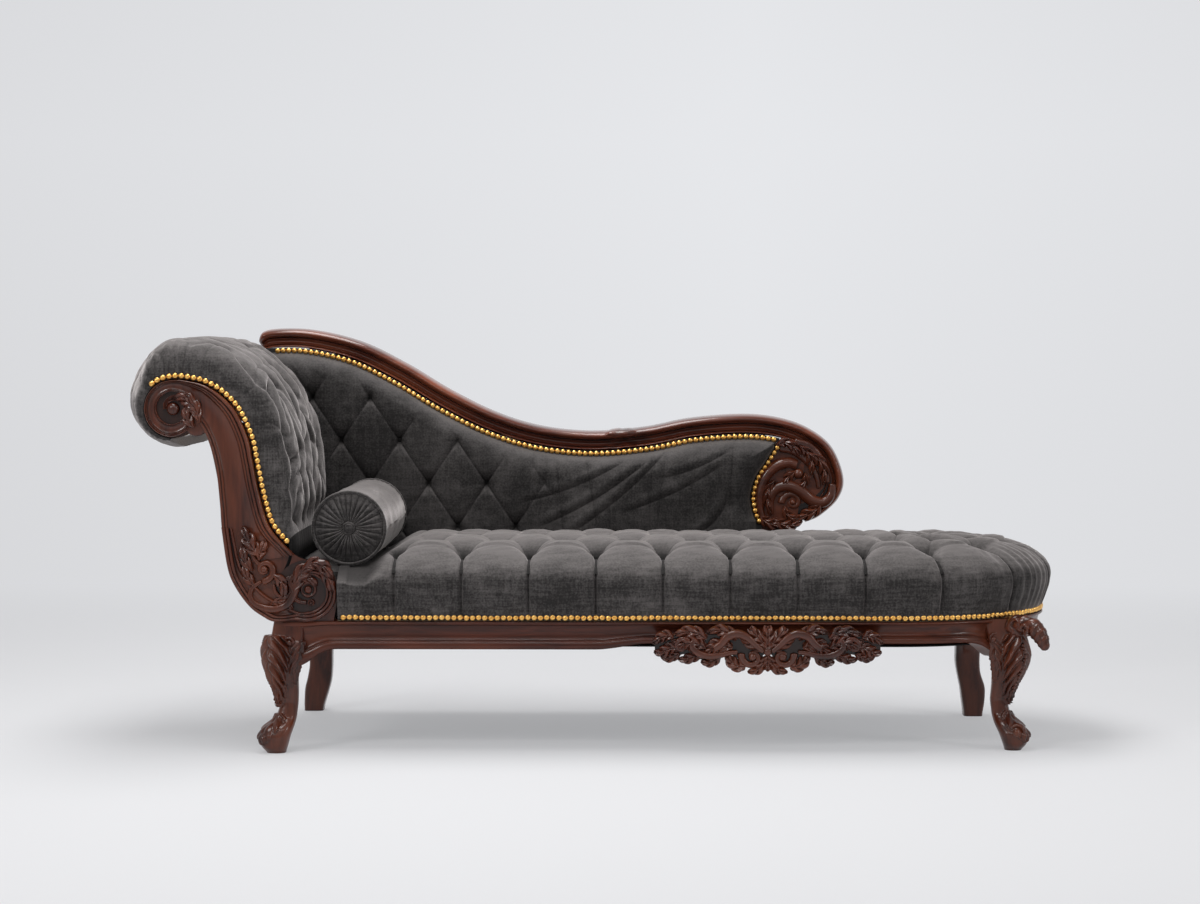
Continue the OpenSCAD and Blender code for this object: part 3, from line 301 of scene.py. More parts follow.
def bumpOn(nt, shader, *layers):
    # one bump after another: (height, strength, distance in metres)
    last = None
    for height, strength, distance in layers:
        node = nt.nodes.new("ShaderNodeBump")
        node.inputs["Strength"].default_value = strength
        node.inputs["Distance"].default_value = distance
        nt.links.new(height, node.inputs["Height"])
        if last is not None:
            nt.links.new(last, node.inputs["Normal"])
        last = node.outputs["Normal"]
    nt.links.new(last, shader.inputs["Normal"])


def hollowOf(nt):
    # how deep the surface lies in folds or carving, from the mesh: the mask for painted shade
    node = nt.nodes.new("ShaderNodeAttribute")
    node.attribute_name = "hollow"
    return node.outputs["Fac"]


def axesOf(nt, vector):
    node = nt.nodes.new("ShaderNodeSeparateXYZ")
    nt.links.new(vector, node.inputs[0])
    return node.outputs


velvetLook = {
    "deep": (0.0040, 0.0037, 0.0037),     # painted shade in the folds
    "ground": (0.0190, 0.0174, 0.0172),   # the pile from above
    "brushedAndTopLit": (0.122, 0.112, 0.110),     # pile brushed against the light, also the painted light on tops
    "paintedTopLight": 0.74,                         # how far surfaces that face up are painted lighter: painted light
    "sheenTint": (0.56, 0.52, 0.512, 1),
}


def velvetMaterial(name, lift=1.0, sheen=1.0, threads=0.10):
    # the nap is a sum of noises: blotches, streaks both ways, fine grain and threads. It blends the ground
    # with the lighter tone, which surfaces that face up get more of as painted light; hollows get painted
    # shade
    mat, nt, shader = newMaterial(name)

    def plus(a, b):
        return calc(nt, "ADD", a, b)

    blotch = noiseOn(nt, 6.5, 3, rough=0.55, distort=0.6)
    streak = noiseOn(nt, 34, 4, stretch=(1, 1, 0.22), rough=0.6)
    cross = noiseOn(nt, 38, 5, stretch=(0.22, 0.6, 1), rough=0.62)
    fine = noiseOn(nt, 260, 2, rough=0.6)
    pile = noiseOn(nt, 1500, 2, rough=0.7)
    streaks = plus(remap(nt, streak, 0.42, 0.7, 0.0, 0.22), remap(nt, cross, 0.4, 0.68, 0.0, 0.26))
    nap = plus(remap(nt, blotch, 0.34, 0.7, 0.02, 0.3), streaks)
    nap = calc(nt, "MULTIPLY", nap, remap(nt, noiseOn(nt, 13, 2, distort=1.0), 0.36, 0.62, 0.35, 1.0))
    nap = plus(nap, remap(nt, fine, 0.35, 0.65, -0.14, 0.14))
    level = noiseOn(nt, 230, 3, stretch=(0.08, 0.08, 1), rough=0.6)
    upright = noiseOn(nt, 230, 3, stretch=(1, 1, 0.08), rough=0.6)
    weave = plus(*(remap(nt, way, 0.38, 0.62, -threads, threads) for way in (level, upright)))
    nap = plus(nap, weave)
    # painted light: surfaces that face up are painted lighter
    facing = axesOf(nt, nt.nodes.new("ShaderNodeNewGeometry").outputs["Normal"])
    nap = plus(nap, remap(nt, facing[2], 0.15, 0.95, 0.0, velvetLook["paintedTopLight"]))
    deep, ground, brushedAndTopLit = (tuple(x * lift for x in velvetLook[k]) for k in ("deep", "ground", "brushedAndTopLit"))
    colour = blendColours(nt, nap, ground, brushedAndTopLit)
    # painted shade: the hollows blend towards the dark fold tone
    colour = blendColours(nt, remap(nt, hollowOf(nt), 0.15, 1.0, 0.0, 0.92), colour, deep)
    nt.links.new(colour, shader.inputs["Base Color"])
    # painted shade: the sheen fades in the hollows, so folds and pits render darker
    nt.links.new(remap(nt, hollowOf(nt), 0.1, 0.85, sheen, 0.1 * sheen), shader.inputs["Sheen Weight"])
    shader.inputs["Sheen Roughness"].default_value = 0.36
    shader.inputs["Sheen Tint"].default_value = velvetLook["sheenTint"]
    shader.inputs["Roughness"].default_value = 0.82
    shader.inputs["Specular IOR Level"].default_value = 0.18
    bumpOn(nt, shader, (streak, 0.12, 0.004), (fine, 0.2, 0.0012), (pile, 0.25, 0.0004))
    return mat


woodLook = {
    "dark": (0.0250, 0.0052, 0.0026),
    "mid": (0.082, 0.0175, 0.0080),
    "light": (0.165, 0.044, 0.0185),
    "glazeAndShade": (0.0028, 0.0010, 0.0007),     # glaze left in the carving, and painted shade in its hollows
}


def woodMaterial(name, along, gloss, coat, lift=1.0):
    # grain and figure along one axis, under a clear coat
    mat, nt, shader = newMaterial(name)
    stretch = {"x": (0.07, 1, 1), "z": (1, 1, 0.07)}[along]
    grain = noiseOn(nt, 95, 6, stretch=stretch, rough=0.62, distort=0.5)
    figure = noiseOn(nt, 7, 3, stretch=tuple(x ** 0.5 for x in stretch), rough=0.5, distort=1.4)
    pores = noiseOn(nt, 420, 3, stretch=stretch, rough=0.7)
    dark, mid, light = (tuple(x * lift for x in woodLook[k]) for k in ("dark", "mid", "light"))
    colour = blendColours(nt, remap(nt, grain, 0.34, 0.68, 0.0, 1.0), dark, mid)
    colour = blendColours(nt, remap(nt, figure, 0.4, 0.75, 0.0, 0.75), colour, light)
    # the hollows blend to near black: glaze and painted shade
    colour = blendColours(nt, remap(nt, hollowOf(nt), 0.1, 1.0, 0.0, 0.95), colour, woodLook["glazeAndShade"])
    nt.links.new(colour, shader.inputs["Base Color"])
    rough = calc(nt, "ADD", remap(nt, figure, 0.2, 0.8, gloss - 0.05, gloss + 0.09),
                 remap(nt, hollowOf(nt), 0.2, 1.0, 0.0, 0.25))
    nt.links.new(rough, shader.inputs["Roughness"])
    shader.inputs["Specular IOR Level"].default_value = 0.22
    shader.inputs["Coat Weight"].default_value = coat
    shader.inputs["Coat Roughness"].default_value = 0.09
    bumpOn(nt, shader, (figure, 0.06, 0.006), (pores, 0.16, 0.0004))
    return mat


def brassMaterial():
    mat, nt, shader = newMaterial("nail brass")
    tone = remap(nt, noiseOn(nt, 130, 2), 0.35, 0.65, 0.0, 1.0)
    nt.links.new(blendColours(nt, tone, (0.78, 0.40, 0.09), (1.0, 0.62, 0.19)), shader.inputs["Base Color"])
    shader.inputs["Metallic"].default_value = 1.0
    shader.inputs["Roughness"].default_value = 0.3
    bumpOn(nt, shader, (noiseOn(nt, 420, 2), 0.25, 0.0006))
    return mat


def clothMaterial(name, dark, light, scale):
    # warp and weft
    mat, nt, shader = newMaterial(name)
    warp = noiseOn(nt, scale, 3, stretch=(1, 0.2, 1))
    weft = noiseOn(nt, scale, 3, stretch=(0.2, 1, 1))
    both = calc(nt, "MULTIPLY", calc(nt, "ADD", warp, weft), 0.5)
    colour = blendColours(nt, remap(nt, both, 0.35, 0.65, 0.0, 1.0), dark, light)
    nt.links.new(colour, shader.inputs["Base Color"])
    shader.inputs["Roughness"].default_value = 0.9
    bumpOn(nt, shader, (both, 0.35, 0.0008))
    return mat


velvet = velvetMaterial("charcoal velvet")
# painted shade: the back's velvet is a darker copy of the same velvet
velvetBackShaded = velvetMaterial("charcoal velvet in the back, painted darker", 0.78, 0.9, 0.05)
# painted shade: a much darker copy of the same velvet, with little sheen, for buttons, pits and hidden corners
velvetShaded = velvetMaterial("charcoal velvet, painted shade", 0.22, 0.15)
mahogany = woodMaterial("polished mahogany, lengthwise", "x", gloss=0.34, coat=0.24)
mahoganyUp = woodMaterial("polished mahogany, upright", "z", gloss=0.3, coat=0.5)
mahoganyCarved = woodMaterial("polished mahogany, carved", "x", gloss=0.26, coat=0.6)
# painted light: the crest's copy is 1.6 times lighter, standing in for the highlight along its top
mahoganyCrestLit = woodMaterial("polished mahogany of the crest, painted lighter", "x", gloss=0.3, coat=0.7, lift=1.6)
brass = brassMaterial()
beech = clothMaterial("bare beech", (0.42, 0.27, 0.13), (0.6, 0.42, 0.22), 60)
linen = clothMaterial("undyed linen", (0.22, 0.17, 0.1), (0.4, 0.33, 0.22), 500)
dustCloth = clothMaterial("black dust cloth", (0.006, 0.006, 0.006), (0.018, 0.018, 0.019), 600)
print("materials made")


# tufted cloth

buttonRadii = {"seat": 7.0, "head": 5.5, "back": 6.5}


def domesAt(places, normals, radius, rise, rings=5, around=12, sink=0.6):
    # a low round head at each place, turned to its normal
    a, q = grid(turns(around), np.linspace(0.02, 1, rings))
    up = rise * np.sqrt(np.clip(1 - q ** 2, 0, 1)) - sink
    r = radius * q
    out = []
    for c, n in zip(places, np.broadcast_to(normals, places.shape)):
        n = n / np.linalg.norm(n)
        side = np.cross(n, (0.0, 0.0, 1.0) if abs(n[2]) < 0.9 else (1.0, 0.0, 0.0))
        side /= np.linalg.norm(side)
        flat = (r * np.cos(a))[..., None] * side + (r * np.sin(a))[..., None] * np.cross(n, side)
        points = c + flat + up[..., None] * n
        # painted shade: a dark ring at the rim, where the head meets the surface
        out.append(patch(points, wrapU=True, facing=n, hollow=0.5 * (q > 0.97)))
    return out


def latticeHeight(i, k, slack, pillow, crease, button, size=0.30, lop=0.55, twin=1.0):
    # height, hollow and distance to the nearest tuft; i and k count tufts along and half rows across, and
    # creases run where i + k/2 and i - k/2 are whole. The hollow is painted shade in the pits, creases and
    # rays
    a, b = i + k / 2, i - k / 2
    sa, sb = a - np.round(a), b - np.round(b)
    da, db = np.abs(sa), np.abs(sb)
    away = np.sqrt((da * da + db * db) * 2)
    dome = (np.sin(pi * da) * np.sin(pi * db)) ** 0.62
    # each crease is a fold with one lazy side, and a finer fold lies beside it
    folds = np.maximum(valley(np.where(sa > 0, da, da * lop), slack),
                       valley(np.where(sb > 0, db * lop, db), slack))
    folds = folds * (0.45 + 0.55 * hill(away, 0.42))
    second = np.maximum(valley(sa + 0.062, slack * 0.35), valley(sb - 0.062, slack * 0.35))
    second = twin * second * (0.3 + 0.7 * hill(away, 0.4))
    # short rays run into the tuft
    way = np.arctan2(sb, sa)
    rays = (0.5 + 0.5 * np.cos(8 * way + 1.3 * np.sin(3 * way))) * hill(away - 0.2, 0.15)
    height = pillow * dome - crease * (folds + 0.3 * second + 0.16 * rays) - button * hill(away, size, 1.35)
    # painted shade along the seams, in the finer folds, in the rays and in each pit
    seams = np.maximum(valley(da, slack * 0.5), valley(db, slack * 0.5))
    seams = 0.95 * seams * (0.5 + 0.5 * hill(away, 0.4))
    hollow = np.max([hill(away, size * 0.8), seams, 0.5 * second, 0.4 * rays ** 2], axis=0)
    return height, hollow, away


def tuftPlaces(points, away, near, allowed):
    # the grid points that lie nearest to a tuft: nearer than all their neighbours
    a = np.pad(away, 1, mode="edge")
    m, n = away.shape
    steps = [(i, j) for i in (0, 1, 2) for j in (0, 1, 2) if (i, j) != (1, 1)]
    least = np.min([a[i:i + m, j:j + n] for i, j in steps], axis=0)
    return points[(away <= least) & (away < near) & allowed]


def tuftButtons(name, places, normals, radius, stands):
    # low covered buttons, deep in the cloth, in the dark velvet copy as painted shade
    domes = domesAt(places, normals, radius, 3.0, rings=6, around=16, sink=0.4)
    makePiece(name, domes, velvetShaded, stands=(stands,), slot="velvet")


# seat

seat = {
    "pitch": 135.0,        # tufts along the seat
    "turnPitch": 30.0,     # and round the foot, in degrees
    "tuftX": 547.5,        # the last front tuft before the foot
    "firstTurn": -75.0,    # and the first one on it
    # distance of the rows from the middle, and half rows from the first
    "rows": ([0, 58, 153, 248], [2.5, 2.0, 1.0, 0.0]),
    "grain": 4.2,          # size of the surface's squares
    "radius": 345.0,
    "narrow": 236.0,       # reach to the rear, where the back stands on the frame
    "buttonDip": 34.0,
    "creaseDip": 7.5,
    "pillow": 6.0,
    "pleatDip": 7.5,
    "rearDrop": 9.0,       # how much lower the seat lies along the back
    "notchX": -511.5,
    "scrollX": 371.4,
    "low": 268.5,
    "trough": 374.0,       # height of the cloth under the bolster
    "pitWide": 20.0,       # half width of a tuft's pit on the wall, and how far down it runs
    "pitRun": 44.0,
    "tongueX": -606,
    "tongueFront": -282.0,
    "tongueTop": 377,
}
firstRow = seat["rows"][0][-1]
seatProfile = smoothLine([(326, 268), (330, 279), (339, 302), (345.5, 328), (345, 350), (336, 371),
                          (318, 388), (293, 402), (262, 412.5), (226, 419.5), (160, 424), (80, 425.5),
                          (0, 426)], 12)


def seatColumns():
    # the columns run round the seat: along the front, round the foot and back along the rear. They lie closer
    # together by the tufts and their pleats
    step = seat["grain"]

    def closer(u):
        return u - 13 * np.sin(2 * pi * (u - seat["tuftX"]) / seat["pitch"]) * ease((u - seat["notchX"]) / 60)

    front = closer(np.arange(seat["notchX"], couch["footX"], step))
    rear = closer(np.arange(couch["footX"], seat["notchX"], -step)[1:])
    turn = np.linspace(-90, 90, int(pi * seat["radius"] / step))
    turn = turn - 2.9 * np.sin(2 * pi * (turn - seat["firstTurn"]) / seat["turnPitch"])
    x = np.concatenate([front, np.full(len(turn), couch["footX"]), rear])
    angle = np.radians(np.concatenate([np.full(len(front), -90.0), turn, np.full(len(rear), 90.0)]))
    # how far along in tufts: whole where a front-row tuft stands
    along = np.concatenate([(front - seat["tuftX"]) / seat["pitch"],
                            (turn - seat["firstTurn"]) / seat["turnPitch"],
                            5 + (seat["tuftX"] - rear) / seat["pitch"]])
    return x[:, None], angle[:, None], along[:, None]


def seatWall(prof, run, angle, i):
    # height and painted shade beyond the first row, where the cloth runs down the wall in panels between
    # pleats
    across, z = prof.T
    level = np.clip((across - firstRow) / 97.0, 0, 1) + np.clip((356 - z) / 88.0, 0, 1) * (across > 320)
    d = (i - np.round(i)) * seat["pitch"]
    # the two folds of a pleat open into a V at the tuft
    apart = 0.8 + 13.0 * np.exp(-level / 0.17)

    def folds(width):
        return np.maximum(valley(d - apart, width), valley(d + apart, width))

    lips = hill(d - apart - 5, 3.2) + hill(d + apart + 5, 3.2)
    # the pit narrows downwards into the pleat
    tuftRun = run[np.argmin(np.abs(across - firstRow) + 1000 * (z < 380))]
    down = np.clip(tuftRun - run, 0, None)
    wide = seat["pitWide"] * (1 - 0.8 * np.clip(down / 62, 0, 1))
    pit = seat["buttonDip"] * hill(d, wide, 1.35) * hill(down, seat["pitRun"], 1.7)
    panel = 5.5 * np.abs(np.sin(pi * i)) ** 0.95 * (1 - 0.62 * np.clip(level - 0.6, 0, 1)) - 3.0
    # small gathers on the foot
    gather = 1.6 * np.sin(i * 2 * pi * 6.5 + 1.2 * np.sin(i * 9)) * ease(level / 0.5)
    gather = gather * ease((np.degrees(angle) + 62) / 30) * (np.abs(angle) < 1.5)
    height = panel - seat["pleatDip"] * folds(2.4) + 1.4 * lips - pit + gather
    # painted shade in the pleats and in each tuft's pit
    creased = 0.5 * folds(1.9) * (1 - 0.4 * np.clip(level / 2, 0, 1))
    hollow = creased + 0.95 * hill(d, 0.7 * wide) * hill(down, 36)
    return height, hollow


def sinkHeadEnd(p):
    # lowers the head end into the trough behind the bolster; returns how much painted shade it gets there
    x, y, z = p[..., 0], p[..., 1], p[..., 2]
    cap = seat["trough"] + np.maximum(0, np.abs(x - bolsterX) - 38) * 0.62
    cap = np.where(x < bolsterX, seat["trough"] + 4, cap) - np.clip(np.abs(y + 8) - 236, 0, 110) ** 2 / 300
    over = np.log1p(np.exp(np.clip((z - cap) / 5, -30, 30))) * 5
    near = cap < 470
    p[..., 2] = np.maximum(np.where(near, z - over, z), seat["low"])
    return np.where(near, 0.75 * ease(over / 30), 0)


def seatTongue():
    # a low strip of the same cloth between the seat's head end and the head's foot
    front = seat["tongueFront"]
    x, y = grid(np.linspace(seat["tongueX"], seat["notchX"] + 8, 26), np.linspace(front, seat["narrow"], 130))
    z = seat["tongueTop"] - 3 * ((y + 20) / 260) ** 2 - 16 * np.clip((np.abs(y + 23) - 240) / 18, 0, 1) ** 2
    sideX, sideZ = grid(x[:, 0], np.linspace(seat["low"], 361, 12))
    return [patch(xyz(x, y, z), facing=(0, 0, 1)), patch(xyz(sideX, front, sideZ), facing=(0, -1, 0))]


def makeSeat():
    prof = evenLine(seatProfile, seat["grain"])
    run = lengthsOf(prof)
    across, z = prof.T
    x, angle, i = seatColumns()
    # behind the back's cushion the seat stops short, so its wall moves in there
    wider = (seat["radius"] - seat["narrow"]) * ease((x - seat["scrollX"] - 50) / 50)
    reach = np.where(angle > 1.5, seat["narrow"] + wider, seat["radius"])
    r = np.where(across > 190, 190 + (across - 190) * ((reach - 190) / 155.0), across)
    flatX, flatY = x + r * np.cos(angle), r * np.sin(angle)
    k = np.interp(across, *seat["rows"])
    top, topHollow, away = latticeHeight(i, k, 0.045, seat["pillow"], seat["creaseDip"], 0, twin=0.15)
    top = top * np.interp(across, [0, 120, 205, firstRow], [0.6, 0.6, 0.8, 1.0])
    sunk = seat["buttonDip"] * hill(away, 0.30, 1.35)
    top = top - sunk * np.interp(across, [0, 150, firstRow], [0.7, 0.8, 1.0])
    wall, wallHollow = seatWall(prof, run, angle, i)
    height = np.where(across > firstRow, wall, top)
    hollow = np.where(across > firstRow, wallHollow, topHollow)
    height = height + 1.3 * ripples(flatX, flatY, 170, 3) * (1 - hollow)
    height = height + 0.45 * ripples(flatX, flatY + z, 31, 5)
    height = height * ease(run / 34.0)
    crownDrop = 5.0 * (r / seat["radius"]) ** 2 + seat["rearDrop"] * ease((flatY + 130) / 330)
    tilt = np.gradient(prof, axis=0)
    tilt /= np.linalg.norm(tilt, axis=1)[:, None]
    normal = xyz(tilt[:, 1] * np.cos(angle), tilt[:, 1] * np.sin(angle), -tilt[:, 0])
    p = xyz(flatX, flatY, z - crownDrop * ease((z - 330) / 80)) + normal * height[..., None]
    # painted shade in the trough behind the bolster
    hollow = np.maximum(hollow, sinkHeadEnd(p))
    onRow = (k <= 2.05) & (np.abs(k - np.round(k)) < 0.2)
    spots = tuftPlaces(p, away, 0.07, onRow & (p[..., 0] > -470) & (p[..., 2] > 360))
    tuftButtons("seat_tuft_buttons", spots + (0, 0, 1.5), (0, 0, 1), buttonRadii["seat"], "seat_buttons")
    edge = np.hstack([x + seat["radius"] * np.cos(angle), seat["radius"] * np.sin(angle)])
    under = np.stack([p[:, 0], xyz(x[:, 0], 0, seat["low"])], 1)
    parts = [patch(p, hollow=hollow, uv=np.stack(grid(lengthsOf(edge), run), -1)),
             patch(under, facing=(0, 0, -1))]
    makePiece("seat_velvet", parts + seatTongue(), velvet, stands=("seat_cushion",), slot="velvet", fill=0.9)


makeSeat()
print("seat made")


# head

leftShares = [(0.24, -couch["lowerR"] / couch["headRise"]), (0.33, -0.14), (0.43, -0.085), (0.535, 0.02),
              (0.595, 0.13), (0.64, 0.35), (0.66, 0.57), (0.72, 0.79), (0.77, 0.88)]
rightShares = [(0.09, 0.2), (0.27, 0.35), (0.352, 0.54), (0.402, 0.725), (0.435, 0.84), (0.52, 0.98),
               (0.63, 1.07), (0.76, 1.13), (0.9, 1.155)]
padShares = np.array([0.12, 0.75, 0.94, 1, 1, 1.02, 1.05, 1.1, 1.13, 1.14, 1.08, 0.97, 0.86, 0.66, 0.45, 0.3])
upperEye, lowerEye = (couch["upperX"], couch["upperZ"]), (lowerX, lowerZ)


def onHead(shares):
    # places on the head's outline, from shares of its run and its rise
    return [(couch["upperX"] + (1 - a) * couch["headRun"], couch["upperZ"] + (b - 1) * couch["headRise"])
            for a, b in shares]


headKnots = onHead(rightShares) + around(upperEye, (90, 120, 150, 180, 210, 240, 265), couch["upperR"])
head = {
    "grain": 3.6,
    "front": -325.0,
    "rear": 280.3,
    "edge": 62.0,          # how far in the cushion is round at its front and its rear
    "nailStrip": 11.3,
    "firstFold": 44.0,
    "foldPitch": 105.6,
    "turnPitch": 66.0,
    "buttonDip": 11.0,
    "creaseDip": 9.5,
    "pillow": 9.0,
    "rollLow": 440,        # under this height the cushion goes straight down, to the next height
    "foot": 364.0,
}
headSteps = 24


def headLine():
    # the scroll's edge with its normals, the thickness of the padding and the place in knots at each point
    line = smoothLine(headKnots, headSteps)
    t = np.linspace(0, len(headKnots) - 1, len(line))
    thick = couch["headPad"] * np.interp(t, np.arange(len(padShares)), padShares)
    thick = np.convolve(np.pad(thick, 12, mode="edge"), np.ones(25) / 25, "valid")
    return line, leftNormals(line), thick, t


def headColumns():
    # round the front edge, along the depth, round the rear edge: y, share of the thickness, and how far it
    # faces front
    q = np.linspace(0, pi / 2, 22)
    turn, share = head["edge"] * (1 - np.cos(q)), np.sin(q) ** 0.8
    low, high = head["front"] + head["edge"], head["rear"] - head["edge"]
    middle = np.linspace(low, high, int((high - low) / head["grain"]))[1:-1]
    flat = np.ones(len(middle))
    return (np.concatenate([head["front"] + turn, middle, (head["rear"] - turn)[::-1]]),
            np.concatenate([share, flat, share[::-1]]),
            np.concatenate([np.cos(q), 0 * flat, -np.cos(q)[::-1]]))


def headFolds(y, s):
    # zigzag folds run over the roll, with a tuft at each turn of the zigzag and a short seam beside it
    k = s / head["turnPitch"] + 0.8 * ripples(y, s, 240, 20)
    turn = 2 * np.abs(2 * (k / 2 - np.floor(k / 2 + 0.5))) - 1
    e = (y - head["front"] - head["firstFold"]) / head["foldPitch"]
    e = e - 0.16 * turn + 0.12 * ripples(y, s, 130, 24)
    de, dk = (e - np.round(e)) * head["foldPitch"], (k - np.round(k)) * head["turnPitch"]
    slack = 0.75 + 0.25 * ripples(y, s, 90, 25)
    fold = np.where(de > 0, valley(de, 13.0), valley(de, 3.2)) * slack
    away = np.hypot(de, dk)
    pit = hill(away, 17.0, 1.4)
    seam = valley(dk, 4.0) * valley(de - 14, 16.0) * slack
    pillow = np.abs(np.sin(pi * e)) ** 0.6 * (0.7 + 0.3 * np.abs(np.sin(pi * k)) ** 0.7)
    height = head["pillow"] * pillow - head["creaseDip"] * fold - head["buttonDip"] * pit - 3.2 * seam
    # painted shade in the folds, the pits and the seams
    hollow = 0.95 * valley(de, 2.6) * slack + pit ** 2 + 0.55 * valley(dk, 2.0) * valley(de - 14, 14.0)
    return height, np.clip(hollow, 0, 1), away, k


def makeHead():
    line, normal, thick, knot = headLine()
    run = lengthsOf(line - normal * thick[:, None])
    s = np.linspace(0, run[-1], int(run[-1] / head["grain"]))
    t = np.interp(s, run, knot)
    base, normal, full = sampled(line, knot, t), sampled(normal, knot, t), np.interp(t, knot, thick)[:, None]
    s, t = s[:, None], t[:, None]
    y, share, faceFront = headColumns()
    fromFront = y - head["front"]
    h, hollow, away, k = headFolds(y, s)
    inside = ease((fromFront - 14) / 24) * ease((head["rear"] - y) / 60)
    inside = inside * ease((t - 0.4) / 0.6) * ease((13.4 - t) / 1.2)
    calm = 1 - 0.62 * ease((t - 7.4) / 1.6) - 0.45 * (1 - ease((fromFront - 34) / 60))
    h, hollow = h * inside * calm + 3.0 * (1 - inside), hollow * inside * calm
    # pleats from the first column of tufts to the nails
    pleat = valley((k - np.round(k)) * 58.0 - 2, 3.2) * ease((118 - fromFront) / 50) * ease(t - 1.2)
    # small gathers round the upper volute
    roll = ease((t - 7.2) / 1.5)
    gather = np.sin(t * 2 * pi * 2.3 + 0.8 * np.sin(t * 5)) * roll * ease((75 - fromFront) / 50)
    h = h - 3.4 * pleat * (1 - 0.5 * faceFront) + 1.8 * gather
    h = h + 1.2 * ripples(y, s, 150, 21) + 0.5 * ripples(y, s, 34, 22)
    # painted shade in the pleats and between the gathers
    hollow = np.maximum(hollow, 0.5 * pleat + 0.25 * roll * np.clip(-gather, 0, 1) ** 2)
    depth = np.maximum(head["nailStrip"] + (full - head["nailStrip"]) * share, 5.0) + h * ease(share / 0.35)
    # the roll's front edge is drawn in where it turns under
    depth = depth * (1 - 0.58 * ease((t - 9.2) / 1.8) * (1 - ease(fromFront / 230)))
    p = xyz(base[:, :1] - normal[:, :1] * depth, y, base[:, 1:] - normal[:, 1:] * depth)
    # below the roll the cushion goes straight down behind the bolster, in the dark velvet copy: painted shade
    low = int(np.argmax(p[:, 40, 2] > head["rollLow"]))
    q = np.linspace(0, 1, 16)[:, None, None]
    curtain = p[low] * (1 - q) + xyz(p[low, :, 0] - 12, y, head["foot"]) * q
    curtain[..., 0] += 7 * np.sin(pi * q[..., 0])
    edge = curtain[:, 0]
    inZ, inX = [head["foot"], 386, *base[:low + 1, 1]], [-560, -565, *base[:low + 1, 0]]
    inX = np.interp(edge[:, 2], inZ, inX)[:, None]
    c = np.linspace(0, 1, 8)
    front = xyz(edge[:, :1] * (1 - c) + inX * c, head["front"] + 9, edge[:, 2:])
    # painted shade: the curtain grows darker towards its foot, and its front is dark
    ends = [patch(curtain, facing=(1, 0, 0), hollow=hollow[low] + 0.2 + 0.9 * q[..., 0], finish=1),
            patch(front, facing=(0, -1, 0), hollow=0.85, finish=1)]
    # tufts
    away = away / 60 + (inside < 0.95) + (calm < 0.7)
    spots = tuftPlaces(p, away, 0.07, (t > 1.5) & (t < 8.2) & (fromFront > 30))
    rows = slice(0, low + 90)
    facing = [-np.interp(spots[:, 2], p[rows, 40, 2], normal[rows, j]) for j in (0, 1)]
    facing = xyz(facing[0], 0, facing[1])
    tuftButtons("head_tuft_buttons", spots + facing * 1.5, facing, buttonRadii["head"], "head_buttons")
    # lips that turn in at the front, the rear and the far edge, and the cushion's inner side, with painted
    # shade on the lips and the inner side
    inner = (base - normal * 2.6)[low:]
    main = patch(p[low:], hollow=hollow[low:], uv=np.stack(grid(s[low:, 0], y), -1))
    a = np.array([0, 0.5, 1])[:, None]
    lips = []
    for column, at, out in ((0, head["front"], -1), (-1, head["rear"], 1)):
        ring = p[low:, column, None] * (1 - a) + xyz(inner[:, 0], at, inner[:, 1])[:, None] * a
        lips.append(patch(ring, facing=(0, out, 0), hollow=0.2))
    ends.append(patch(np.stack([p[-1], xyz(inner[-1, 0], y, inner[-1, 1])], 0), facing=(0.3, 0, -1)))
    behind = np.stack([xyz(inner[:, 0], at, inner[:, 1]) for at in (head["front"], head["rear"])], 1)
    ends.append(patch(behind, facing=(-1, 0, -0.2), hollow=0.9))
    # painted shade: the patches with finish 1 take the dark velvet copy
    makePiece("head_velvet", [main] + lips + ends, velvet, velvetShaded, stands=("head_cushion",), slot="velvet",
              fill=0.85)


makeHead()
print("head made")


# back

crestShares = [(0.004, 0.975), (0.032, 1), (0.1, 0.998), (0.183, 0.954), (0.259, 0.872), (0.335, 0.771),
               (0.411, 0.688), (0.487, 0.636), (0.574, 0.616), (0.663, 0.632), (0.739, 0.665), (0.828, 0.68),
               (0.891, 0.666), (0.941, 0.626), (0.98, 0.555), (1, 0.44), (0.991, 0.36), (0.96, 0.295),
               (0.935, 0.27)]
scrollShares = [(0.89, 0.555), (0.874, 0.497), (0.86, 0.45), (0.852, 0.4), (0.85, 0.36), (0.854, 0.31),
                (0.86, 0.278)]


def onBack(shares):
    # places on the back's outline, from shares of its length and its height
    rise = couch["backHeight"] - couch["railTop"]
    return [(couch["backLeft"] + a * couch["backLength"], couch["railTop"] + b * rise) for a, b in shares]


crestLine = smoothLine(onBack(crestShares), 16)
crestNormal = leftNormals(crestLine)
crestInner = crestLine - crestNormal * couch["crestWidth"]
crestEnd = 200             # the point of the crest's line where the end scroll begins
scrollEdge = smoothLine(onBack(scrollShares), 8)
back = {
    "columnPitch": 128.5,
    "rowPitch": 95.0,
    "tuftX": -500.5,
    "tuftZ": 703.5,
    "pad": 46.0,
    "buttonDip": 17.0,
    "creaseDip": 8.0,
    "pillow": 0.9,
    "pit": 0.15,
    "low": 302.0,
    # pleats that fall from the crest: x, width, depth and lean
    "pleats": ((-88, 5, 3.2, 0.10), (-20, 5, 3.0, 0.16), (122, 6, 3.6, -0.05), (150, 5, 2.6, -0.12),
               (300, 6, 3.2, -0.06)),
    # slack folds: from, to, both as x and z, and depth
    "slack": ((110, 560, -120, 420, 5.0), (160, 590, -60, 400, 4.2), (285, 560, 60, 450, 3.4),
              (290, 480, 220, 400, 5.5), (60, 560, -170, 470, 3.4), (300, 590, 120, 520, 2.6)),
    "lastTuft": (300, 468),
}


